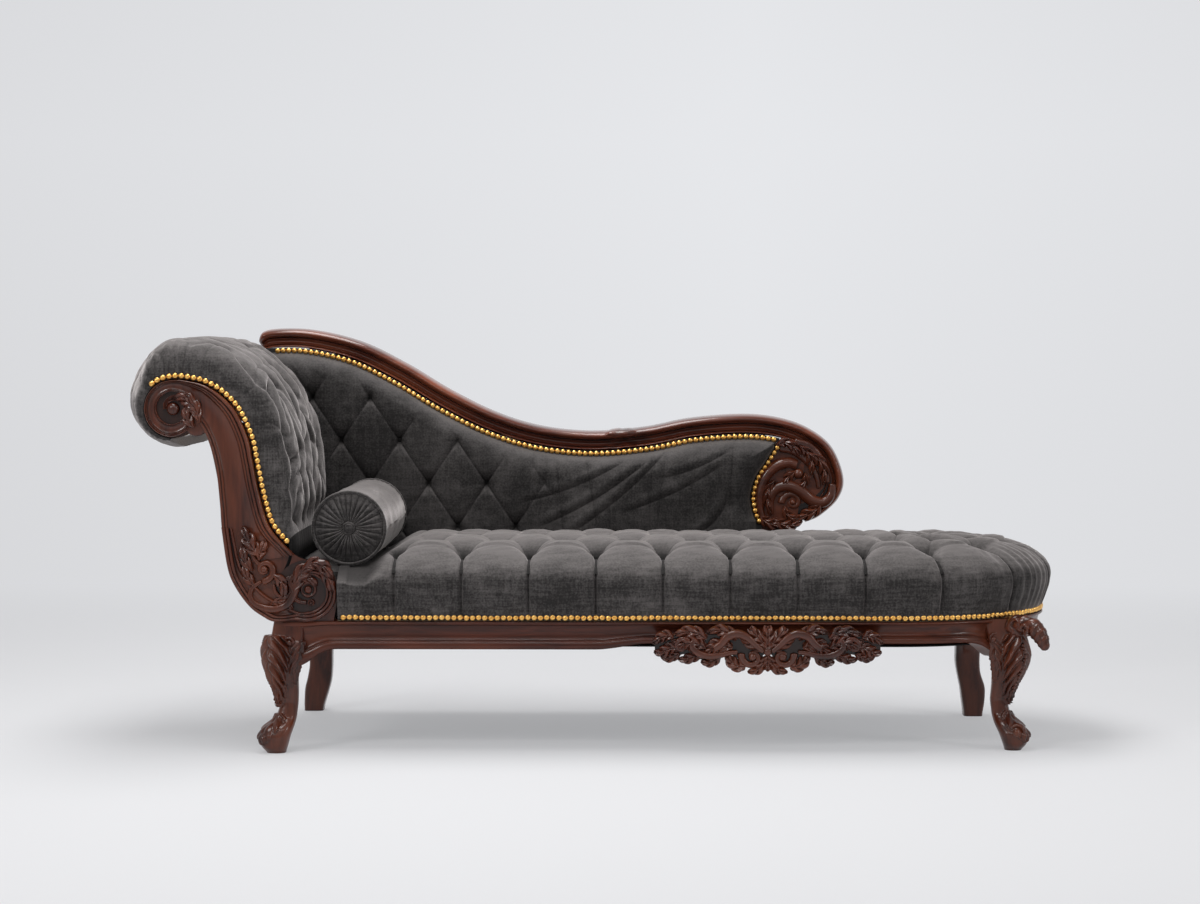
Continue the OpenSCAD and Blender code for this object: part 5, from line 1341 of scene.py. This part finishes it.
def makeRail():
    prof = smoothLine(rail["profile"], 4)
    front = np.arange(rail["headEnd"], couch["footX"], rail["spacing"])
    turn = np.linspace(-90, 90, 180)
    rear = np.arange(couch["footX"], rail["rearEnd"], -rail["spacing"])[1:]
    x = np.concatenate([front, np.full(len(turn), couch["footX"]), rear])[:, None]
    a = np.radians(np.concatenate([np.full(len(front), -90.0), turn, np.full(len(rear), 90.0)]))[:, None]
    # on the bend the rail comes down to the bracket of the foot leg
    onBend = couch["legHeight"] + 12 - 36 * hill(turn + 48, 8.5)
    low = np.concatenate([railLow(front), onBend, railLow(rear)])[:, None]
    r = couch["halfWidth"] - prof[:, 0]
    p = xyz(x + r * np.cos(a), r * np.sin(a), low + (couch["railTop"] + 1.0 - low) * prof[:, 1])
    # glaze and painted shade in the moulding's grooves
    grooves = valley(prof[:, 1] - 0.865, 0.01) + valley(prof[:, 1] - 0.315, 0.012)
    hollow = np.clip(grooves, 0, 1) * 0.8 * (prof[:, 0] < 8)
    parts = [patch(p, hollow=hollow), patch(np.stack([p[:, -1], p[:, 0]], 1), facing=(0, 1, 0))]
    parts += [patch(toMiddle(p[k]), facing=(-1, 0, 0)) for k in (0, -1)]
    makePiece("seat_show_rail", parts, mahogany,
              stands=("front_seat_rail", "foot_rail_front", "foot_rail_end", "foot_rail_rear"))


makeRail()
print("rails made")


# legs

frontLegs = {
    # the edges seen from the front, from the top down; turn is where the outer corner looks, in degrees, and
    # lean is how far the leg moves back for each millimetre to the right
    "head": {"turn": 225.0, "cx": -611.3, "cy": -298.0, "lean": 1.0,
             "z": [265, 240, 210, 188, 172, 148, 124, 98, 68, 52, 34, 12, 0],
             "left": [-641, -645, -655, -654, -650, -643, -633, -630, -639, -660, -670, -666, -654],
             "right": [-581, -579, -578, -582, -588, -593, -593, -594, -597, -601, -607, -613, -617]},
    "foot": {"turn": -48.0, "cx": 825.1, "cy": -233.35, "lean": -1.11,
             "z": [265, 240, 210, 188, 160, 130, 100, 70, 52, 34, 12, 0],
             "left": [792, 797, 806, 808, 811, 811, 809, 812, 816, 824, 832, 836],
             "right": [857, 863, 873, 876, 867, 852, 844, 850, 870, 884, 880, 868]},
}
rearLegs = {
    "head": {"y": 301.0, "splay": 24.0, "half": 24.0,
             "z": [265, 144, 104, 70, 52, 9, 0],
             "left": [-643, -643, -642, -649, -655, -657, -656],
             "right": [-588, -590, -591, -594, -599, -613, -614]},
    "foot": {"y": 232.0, "splay": 26.0, "half": 25.0,
             "z": [265, 160, 124, 97, 64, 30, 14, 0],
             "left": [791, 790, 789, 794, 802, 807, 810, 811],
             "right": [846, 844, 843, 845, 858, 857, 854, 852]},
}
frontLegHeights = np.linspace(265, 0, 190)
footTurn = math.radians(frontLegs["foot"]["turn"])
footOut = np.array([math.cos(footTurn), math.sin(footTurn)])
footSide = np.array([footOut[1], -footOut[0]])
# the carved leaves of a front leg: height of the base, length, middle and half width in angle, lobes, rise
# and cut
legLeaves = (
    (236, 146, 0, 1.15, 5, 13.0, 0.4),
    (78, 62, 0, 0.95, 3, 5.5, 0.35),
    (225, 90, -1.55, 0.55, 4, 6.0, 0.4),
    (225, 90, 1.55, 0.55, 4, 6.0, 0.4),
)


def legEdges(leg, z, weights):
    # the middle and the half width at each height, with the edges smoothed by these weights
    edges = []
    for side in ("left", "right"):
        edge = np.interp(z, leg["z"][::-1], leg[side][::-1])
        edge = np.pad(edge, len(weights) // 2, mode="edge")
        edges.append(np.convolve(edge, weights / weights.sum(), "valid"))
    left, right = edges
    return ((left + right) / 2)[:, None], ((right - left) / 2)[:, None]


def leafRelief(u, v, lobes, cut=0.4):
    # height and hollow of a carved acanthus leaf laid on any surface: u from base to tip, v across (-1 to 1
    # at its widest). The hollow is glaze and painted shade in the cuts, along the mid rib and round the leaf
    wide = np.interp(u, [0, 0.15, 0.45, 0.75, 0.92, 1.0], [0.6, 1.0, 0.95, 0.7, 0.35, 0.04])
    av = np.abs(v) / np.maximum(wide, 0.05)
    across = np.clip(av, 0, 1)
    phase = lobes * (u * 1.05 - 0.48 * np.clip(av, 0, 1.3) ** 1.3) + 0.25
    frac = phase - np.floor(phase)
    lobe = np.sin(pi * frac) ** 0.6
    reach = 1 - cut * (1 - lobe)
    inLeaf = ease((reach - av) / 0.10) * (u > 0) * (u < 1)
    gap = (1 - lobe) * across ** 0.7
    rib = 0.35 * hill(frac - 0.5, 0.12) * across ** 0.6
    height = inLeaf * (0.62 + 0.45 * lobe - 0.35 * across ** 2 + rib - 0.35 * hill(av, 0.09) - 0.7 * gap)
    hollow = inLeaf * (0.8 * gap ** 1.5 + 0.6 * hill(av, 0.06)) + 0.55 * hill(av - reach - 0.06, 0.07)
    return height, np.clip(hollow, 0, 1) * (u > -0.02) * (u < 1.04)


def capped(p, hollow):
    # an upright tube and its two ends
    ends = [patch(toMiddle(p[k]), wrapV=True, facing=(0, 0, way)) for k, way in ((0, 1), (-1, -1))]
    return [patch(p, wrapV=True, hollow=hollow)] + ends


def frontLeg(leg):
    # a rounded square that swells and narrows, with carved leaves on its knee, foot and flanks
    heights = frontLegHeights
    z, a = heights[:, None], turns(132)
    middle, half = legEdges(leg, heights, np.hanning(15)[1:-1])
    square = 2.2 + 5.5 * ease((z - 205) / 45)
    r = half / (np.abs(np.cos(a)) ** square + np.abs(np.sin(a)) ** square) ** (1 / square)
    # a ridge runs down the outer corner, so the knee reads as a blade and not as a post
    d = (a - math.radians(leg["turn"]) + pi) % (2 * pi) - pi
    r = r * (1 + 0.07 * hill(d, 0.35) * ease((230 - z) / 40) * ease(z / 60))
    hollow = 0
    for base, length, at, wide, lobes, rise, cut in legLeaves:
        up, dark = leafRelief((base - z) / length, (d - at) / wide, lobes, cut)
        r = r + up * rise
        hollow = np.maximum(hollow, dark)
    p = xyz(middle + r * np.cos(a), leg["cy"] + (middle - leg["cx"]) * leg["lean"] + r * np.sin(a), z)
    # glaze and painted shade from the leaves, and darker at the very bottom
    return capped(p, hollow + 0.25 * (z < 6))


def whorl(centre, along, rStart, rEnd, aStart, aEnd, thick):
    # a rolled toe or bud: a spiral tube standing in the upright plane that holds the direction "along"
    line = spiralLine((0, 0), rStart, rEnd, aStart, aEnd, 60)
    along = np.asarray(along, float) / np.linalg.norm(along)
    b = turns(16)
    r = thick * (1 - 0.45 * np.linspace(0, 1, len(line))[:, None])
    n = leftNormals(line)
    u, w = (line[:, k, None] + n[:, k, None] * r * np.cos(b) for k in (0, 1))
    v = r * 1.5 * np.sin(b)
    p = xyz(centre[0] + u * along[0] - v * along[1], centre[1] + u * along[1] + v * along[0], centre[2] + w)
    # glaze and painted shade on the tube's inner side
    return patch(closeTips(p), wrapV=True, hollow=0.5 * hill(np.cos(b) + 1, 0.3))


def knob(centre, normal, r, rise):
    # one round head that looks along its normal
    centre, normal = np.array([centre], float), np.array([normal], float)
    return domesAt(centre, normal, r, rise, rings=9, around=28, sink=1.0)[0]


def fromFootLeg(u, v, z):
    # places u outwards and v sideways from the middle of the foot's front leg
    leg = frontLegs["foot"]
    return xyz(leg["cx"] + u * footOut[0] + v * footSide[0], leg["cy"] + u * footOut[1] + v * footSide[1], z)


def bracketHead():
    # the bracket is shaped like a beaked head and stands at the leg's outer corner; the line's last column
    # is its half height
    line = evenLine(smoothLine([(20, 236, 25), (44, 249, 24), (66, 255, 20), (84, 255, 17.5), (97, 250, 18.5),
                                (107, 241, 17.5), (115, 231, 15.5), (120, 222, 13.0), (123, 215, 10.5),
                                (124.5, 210, 7.0), (125, 208, 1.5)], 12), 1.3)
    up = leftNormals(line[:, :2])
    b = turns(40)
    s = np.linspace(0, 1, len(line))[:, None]
    feather = 0.5 + 0.5 * np.sin(s * 44 - 4.4 * np.abs(np.sin(b)))
    mouth = (valley(b - pi * 1.28, 0.1) + valley(b - pi * 1.72, 0.1)) * (s > 0.35)
    wrinkle = hill(np.sin(s * 62 + 2.0 * np.sin(b)) - 0.7, 0.35) * ease((s - 0.58) / 0.06)
    r = line[:, 2:] * (1 + 0.13 * (feather - 0.4) * (s < 0.62) + 0.1 * wrinkle - 0.3 * mouth)
    u, z = (line[:, k, None] + up[:, k, None] * r * np.sin(b) for k in (0, 1))
    p = fromFootLeg(u, r * 0.78 * np.cos(b), z)
    # glaze and painted shade in the feathers, the mouth and the wrinkles
    hollow = (1 - feather) * 0.6 * (s < 0.62) + 0.9 * mouth + 0.5 * (1 - wrinkle) * (s > 0.62)
    p[-1] = p[-1].mean(0)
    eye = knob(fromFootLeg(104, 12, 250), (*footSide, 0.25), 4.2, 3.4)
    parts = [patch(p, wrapV=True, hollow=hollow), eye]
    for u, z, size in ((62, 256, 15), (84, 248, 12), (46, 240, 14)):
        parts.append(whorl(fromFootLeg(u, 13, z), footOut, size, 3, 180, -190, 4.6))
    return parts


def kneeBeads():
    # a row of small beads down the outer edge of the foot's knee
    leg = frontLegs["foot"]
    z = np.linspace(214, 112, 15)
    edges = legEdges(leg, frontLegHeights, np.hanning(15)[1:-1])
    middle, half = (np.interp(z, frontLegHeights[::-1], e[::-1, 0]) for e in edges)
    out = half * 1.05 + 11
    y = leg["cy"] + (middle - leg["cx"]) * leg["lean"]
    places = xyz(middle + out * footOut[0], y + out * footOut[1], z)
    return domesAt(places, (*footOut, 0), 4.6, 5.5, rings=6, around=12)


def makeFrontLegs():
    toes = [whorl((-644, -331, 35), (-1, -0.25), 22, 7, -60, 330, 7.0),
            knob((-634, -345, 35), (-0.3, -1, 0), 8.5, 6),
            whorl((-607, -333, 222), (1, -0.25), 13, 4, 200, -200, 5.0),
            knob((-607, -343, 222), (0.2, -1, 0), 5.5, 4)]
    makePiece("head_leg_carved", frontLeg(frontLegs["head"]) + toes, mahoganyUp, stands=("head_front_leg",))
    toes = [whorl((862, -283, 38), (1, -0.35), 20, 7, 240, -150, 6.5),
            knob((856, -299, 38), (0.2, -1, 0), 8, 6),
            whorl((812, -268, 226), (-1, -0.4), 14, 4, 180, -220, 5.0),
            knob((810, -282, 226), (-0.2, -1, 0), 5.5, 4)]
    parts = frontLeg(frontLegs["foot"]) + toes + bracketHead() + kneeBeads()
    makePiece("foot_leg_carved", parts, mahoganyUp, stands=("foot_front_leg",))


def makeRearLegs():
    # a rounded square carried down two curved edge lines, with soft corners and a hollow at the ankle
    for name, leg in rearLegs.items():
        heights = np.linspace(262, 0, 110)
        z, a = heights[:, None], turns(72)
        middle, half = legEdges(leg, heights, np.hanning(19)[1:-1])
        r = 1 / (np.abs(np.cos(a)) ** 5 + np.abs(np.sin(a)) ** 5) ** 0.2
        deep = leg["half"] * (1 - 0.14 * hill(z - 95, 45) + 0.05 * hill(z - 20, 20))
        y = leg["y"] + leg["splay"] * ease((150 - z) / 150)
        p = xyz(middle + half * r * np.cos(a), y + deep * r * np.sin(a), z)
        # darker at the very bottom
        parts = capped(p, 0.4 * (z < 4))
        makePiece(name + "_rear_leg_shaped", parts, mahoganyUp, stands=(name + "_rear_leg",))


makeFrontLegs()
makeRearLegs()
print("legs made")


# carving under the front rail

apron = {
    "middle": 351.9,
    "plane": -334.0,
    "thick": 5.5,
    "half": 226,
}
narrowBase = (0.4, 0.8, 1.0, 0.9, 0.45)
apronSide = [
    (frond, [(0, 214), (13, 228), (27, 244), (36, 255)], 5, 10.88, 8, 3, 0, narrowBase),
    (frond, [(0, 208), (20, 216), (38, 226), (54, 240)], 4, 10.24, 7, 3, 0, (0.4, 0.8, 1.0, 0.9, 0.4)),
    (stem, smoothLine([(8, 206), (24, 220), (42, 236), (62, 243), (82, 236), (94, 222), (108, 212)], 10),
     9, 5, 8, 1.2, 2, 0.4),
    (stem, smoothLine([(60, 206), (78, 204), (96, 200), (120, 198), (142, 206), (152, 220), (144, 232)], 10),
     8, 4, 6, 1.2, 2, 0.5),
    (stem, spiralLine((172, 218), 17, 5, 150, -200, 50), 8, 6.0, 4.0, 1.15, 2),
    (stem, spiralLine((30, 196), 24, 6, 20, -330, 70), 4, 8.0, 4.5, 1.15, 2),
    (boss, [(30, 196)], 5, 8.5, 9),
    (frond, [(4, 196), (12, 180), (24, 169), (40, 165)], 2, 10.88, 8, 3),
    (frond, [(44, 176), (60, 178), (74, 188), (84, 202)], 2, 12.16, 8, 3),
    (frond, [(60, 232), (78, 244), (100, 250), (120, 246)], 3, 11.52, 8, 3),
    (frond, [(70, 214), (92, 218), (112, 212), (128, 200)], 4, 14.72, 9, 4, 2),
    (stem, spiralLine((104, 222), 20, 5, 200, 560, 60), 5, 6.5, 3.5, 1.1, 2),
    (boss, [(104, 222)], 6, 6.5, 6, 2.4),
    (frond, [(96, 200), (106, 190), (120, 184), (134, 186)], 2, 10.24, 7, 3),
    (frond, [(122, 232), (144, 244), (166, 246), (188, 240)], 3, 12.16, 8, 3),
    (frond, [(124, 214), (146, 224), (168, 222), (186, 212)], 5, 14.08, 9, 4, 2),
    (frond, [(130, 200), (148, 196), (166, 190), (180, 192)], 2, 10.24, 7, 3),
    (boss, [(150, 207)], 4, 7.5, 7, 3.2),
    (boss, [(186, 226)], 5, 7.0, 7, 3.0),
    (frond, [(180, 214), (198, 212), (214, 204), (228, 206)], 3, 11.52, 8, 3),
    (frond, [(188, 234), (204, 238), (218, 232), (230, 222)], 3, 10.88, 8, 3),
    (frond, [(176, 204), (188, 196), (202, 192), (214, 196)], 2, 8.32, 6, 3),
]
apronMiddle = [
    (frond, [(0, 206), (0, 224), (0, 242), (0, 259)], 6, 12.16, 9, 3, 0, narrowBase),
    (boss, [(0, 207)], 7, 9, 9),
    (frond, [(0, 200), (0, 188), (0, 176), (0, 167)], 4, 10.24, 7, 3),
]


def apronGround():
    # thin ground that joins the leaves, set back so it reads as shadow
    front, rear = apron["plane"], apron["plane"] + apron["thick"]
    x = np.linspace(-apron["half"], apron["half"], 120)
    away = np.abs(x)
    low = 196 + 5 * np.cos(x / 13.0) - 17 * hill(away - 32, 20) + 5 * hill(x, 12) - 6 * hill(away - 112, 24)
    low = low + np.clip(away - 205, 0, None) * 0.6
    high = 240 - 10 * ease((away - 190) / 36)
    q = np.linspace(0, 1, 12)
    x = apron["middle"] + x
    z = low[:, None] * (1 - q) + high[:, None] * q
    parts = []
    for y, way in ((front, -1), (rear, 1)):
        parts.append(patch(xyz(x[:, None], y, z), facing=(0, way, 0), hollow=0.9))
    rim = np.stack([xyz(x, y, low) for y in (front, rear)], 1)
    return parts + [patch(rim, facing=(0, 0, -1), hollow=0.9)]


def makeApron():
    parts = []
    for side in (-1, 1):
        parts += carve(apronSide, apron["plane"], apron["middle"], side)
    parts += carve(apronMiddle, apron["plane"], apron["middle"])
    makePiece("apron_carved", parts + apronGround(), mahoganyCarved, stands=("apron_carving",))


makeApron()
print("apron made")


# camera, lights and floor

view = {
    "lens": 84.0,
    "place": (0.102, -5.928, 0.834),
    "aim": (0.016, -0.328, 0.606),
}
studio = {
    "air": (1.0, 0.995, 0.985, 1),
    "airStrength": 0.44,
    "paper": (0.76, 0.76, 0.775, 1),
    # the paper's painted glow far behind: lighter by the middle of the picture, darker away from it
    "near": (0.79, 0.80, 0.825),
    "off": (0.675, 0.68, 0.70),
    "reach": 30.0,         # the floor's reach to the sides and the front, in metres
    "bendY": 3.2,
    "bendR": 1.8,
    # name, place, aim, size and power
    "lights": (("overhead bank", (-0.5, 0.05, 3.0), (0, 0, 0.3), (2.8, 1.1), 74),
               ("high front strip", (0.2, -2.8, 3.0), (0, 0, 0.5), (3.2, 0.25), 16),
               ("front left bank", (-2.6, -3.0, 2.6), (0, 0, 0.4), (0.7, 1.1), 32),
               ("front right strip", (3.4, -1.9, 2.0), (0.3, 0, 0.4), (0.4, 1.8), 20)),
}


def placeAimed(name, data, place, aim):
    obj = bpy.data.objects.new(name, data)
    obj.location = place
    obj.rotation_euler = (Vector(aim) - Vector(place)).to_track_quat("-Z", "Y").to_euler()
    bpy.context.scene.collection.objects.link(obj)
    return obj


def makeCamera():
    cam = bpy.data.cameras.new("camera")
    cam.lens = view["lens"]
    cam.sensor_width = 36.0
    cam.clip_end = 60
    bpy.context.scene.camera = placeAimed("camera", cam, view["place"], view["aim"])


def areaLight(name, place, aim, size, power):
    light = bpy.data.lights.new(name, "AREA")
    light.shape = "RECTANGLE"
    light.size, light.size_y = size
    light.energy = power
    placeAimed(name, light, place, aim)


def makeAir():
    bpy.context.scene.view_settings.view_transform = "Standard"
    world = bpy.data.worlds.new("studio air")
    world.use_nodes = True
    air = world.node_tree.nodes["Background"].inputs
    air["Color"].default_value = studio["air"]
    air["Strength"].default_value = studio["airStrength"]
    bpy.context.scene.world = world


def paperMaterial():
    # the paper glows to the camera and in reflections only: a painted glow, lighter by the middle of the
    # picture, that also lightens the couch's cast shadow near it
    mat, nt, shader = newMaterial("pale paper")
    shader.inputs["Base Color"].default_value = studio["paper"]
    shader.inputs["Roughness"].default_value = 0.7
    shader.inputs["Specular IOR Level"].default_value = 0.15
    x, y, z = axesOf(nt, nt.nodes.new("ShaderNodeTexCoord").outputs["Object"])

    def awayFrom(way, at):
        return calc(nt, "ABSOLUTE", calc(nt, "SUBTRACT", way, at), 0.0)

    off = remap(nt, calc(nt, "ADD", awayFrom(x, 0.5), awayFrom(z, 1.6)), 0.2, 4.6, 0.0, 1.0)
    glow = nt.nodes.new("ShaderNodeEmission")
    nt.links.new(blendColours(nt, off, studio["near"], studio["off"]), glow.inputs["Color"])
    path = nt.nodes.new("ShaderNodeLightPath").outputs
    seen = calc(nt, "MAXIMUM", path["Is Camera Ray"], path["Is Glossy Ray"])
    join = nt.nodes.new("ShaderNodeMixShader")
    # painted light: 45 percent glow by the couch, lightening its shadow, and full glow far behind
    nt.links.new(calc(nt, "MULTIPLY", remap(nt, y, 0.6, 3.4, 0.45, 1.0), seen), join.inputs[0])
    nt.links.new(shader.outputs[0], join.inputs[1])
    nt.links.new(glow.outputs[0], join.inputs[2])
    nt.links.new(join.outputs[0], nt.nodes["Material Output"].inputs["Surface"])
    return mat


def makeFloor():
    # a floor that turns up into a wall far behind
    bend = np.linspace(0, pi / 2, 14)
    reach, start, r = studio["reach"], studio["bendY"], studio["bendR"]
    y = np.concatenate([np.linspace(-reach, start, 24), start + r * np.sin(bend), [5.0, 5.0]])
    z = np.concatenate([np.zeros(24), r * (1 - np.cos(bend)), [3.5, 7.0]])
    p = np.concatenate([xyz(x, y, z) for x in (-reach, reach)])
    faces = facesOut(p, gridFaces(2, len(y), False, False), (0, -1, 2))
    mesh = bpy.data.meshes.new("paper sweep")
    mesh.from_pydata(p.tolist(), [], faces.tolist())
    mesh.polygons.foreach_set("use_smooth", np.ones(len(mesh.polygons), bool))
    mesh.materials.append(paperMaterial())
    obj = bpy.data.objects.new("paper_sweep", mesh)
    bpy.context.scene.collection.objects.link(obj)


makeCamera()
makeAir()
for row in studio["lights"]:
    areaLight(*row)
makeFloor()
print("studio made")


# materials of the frame's own pieces

dressed = (
    (mahogany, ("head_seat_rail", "apron_carving", "back_foot_scroll", "crest_collar", "front_seat_rail",
                "foot_rail_front", "foot_rail_end", "foot_rail_rear", "rear_seat_rail", "crest_rail")),
    (mahoganyUp, ("head_rear_leg", "foot_rear_leg", "back_scroll_stile", "head_front_leg", "foot_front_leg",
                  "front_head_scroll", "rear_head_post", "back_head_stile")),
    (beech, ("middle_cross_rail", "foot_cross_rail", "corner_blocks", "head_roll_bar", "head_slats",
             "back_bottom_rail", "back_middle_stile", "back_foot_stile")),
    (linen, ("seat_webbing", "seat_hessian", "head_hessian", "back_hessian")),
    (dustCloth, ("dust_cover",)),
    # painted shade: the outside panels take the back's darker velvet copy
    (velvetBackShaded, ("outside_head_panel", "outside_back_panel")),
    # painted shade: the frame's buttons take the dark velvet copy
    (velvetShaded, ("seat_buttons", "head_buttons", "back_buttons")),
    (brass, ("seat_nails", "head_nails", "back_nails", "scroll_nails")),
)
for material, names in dressed:
    for obj in filter(None, map(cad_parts.get, names)):
        for slot in obj.material_slots:
            slot.material = material
        if not obj.material_slots:
            obj.data.materials.append(material)
print("frame dressed")
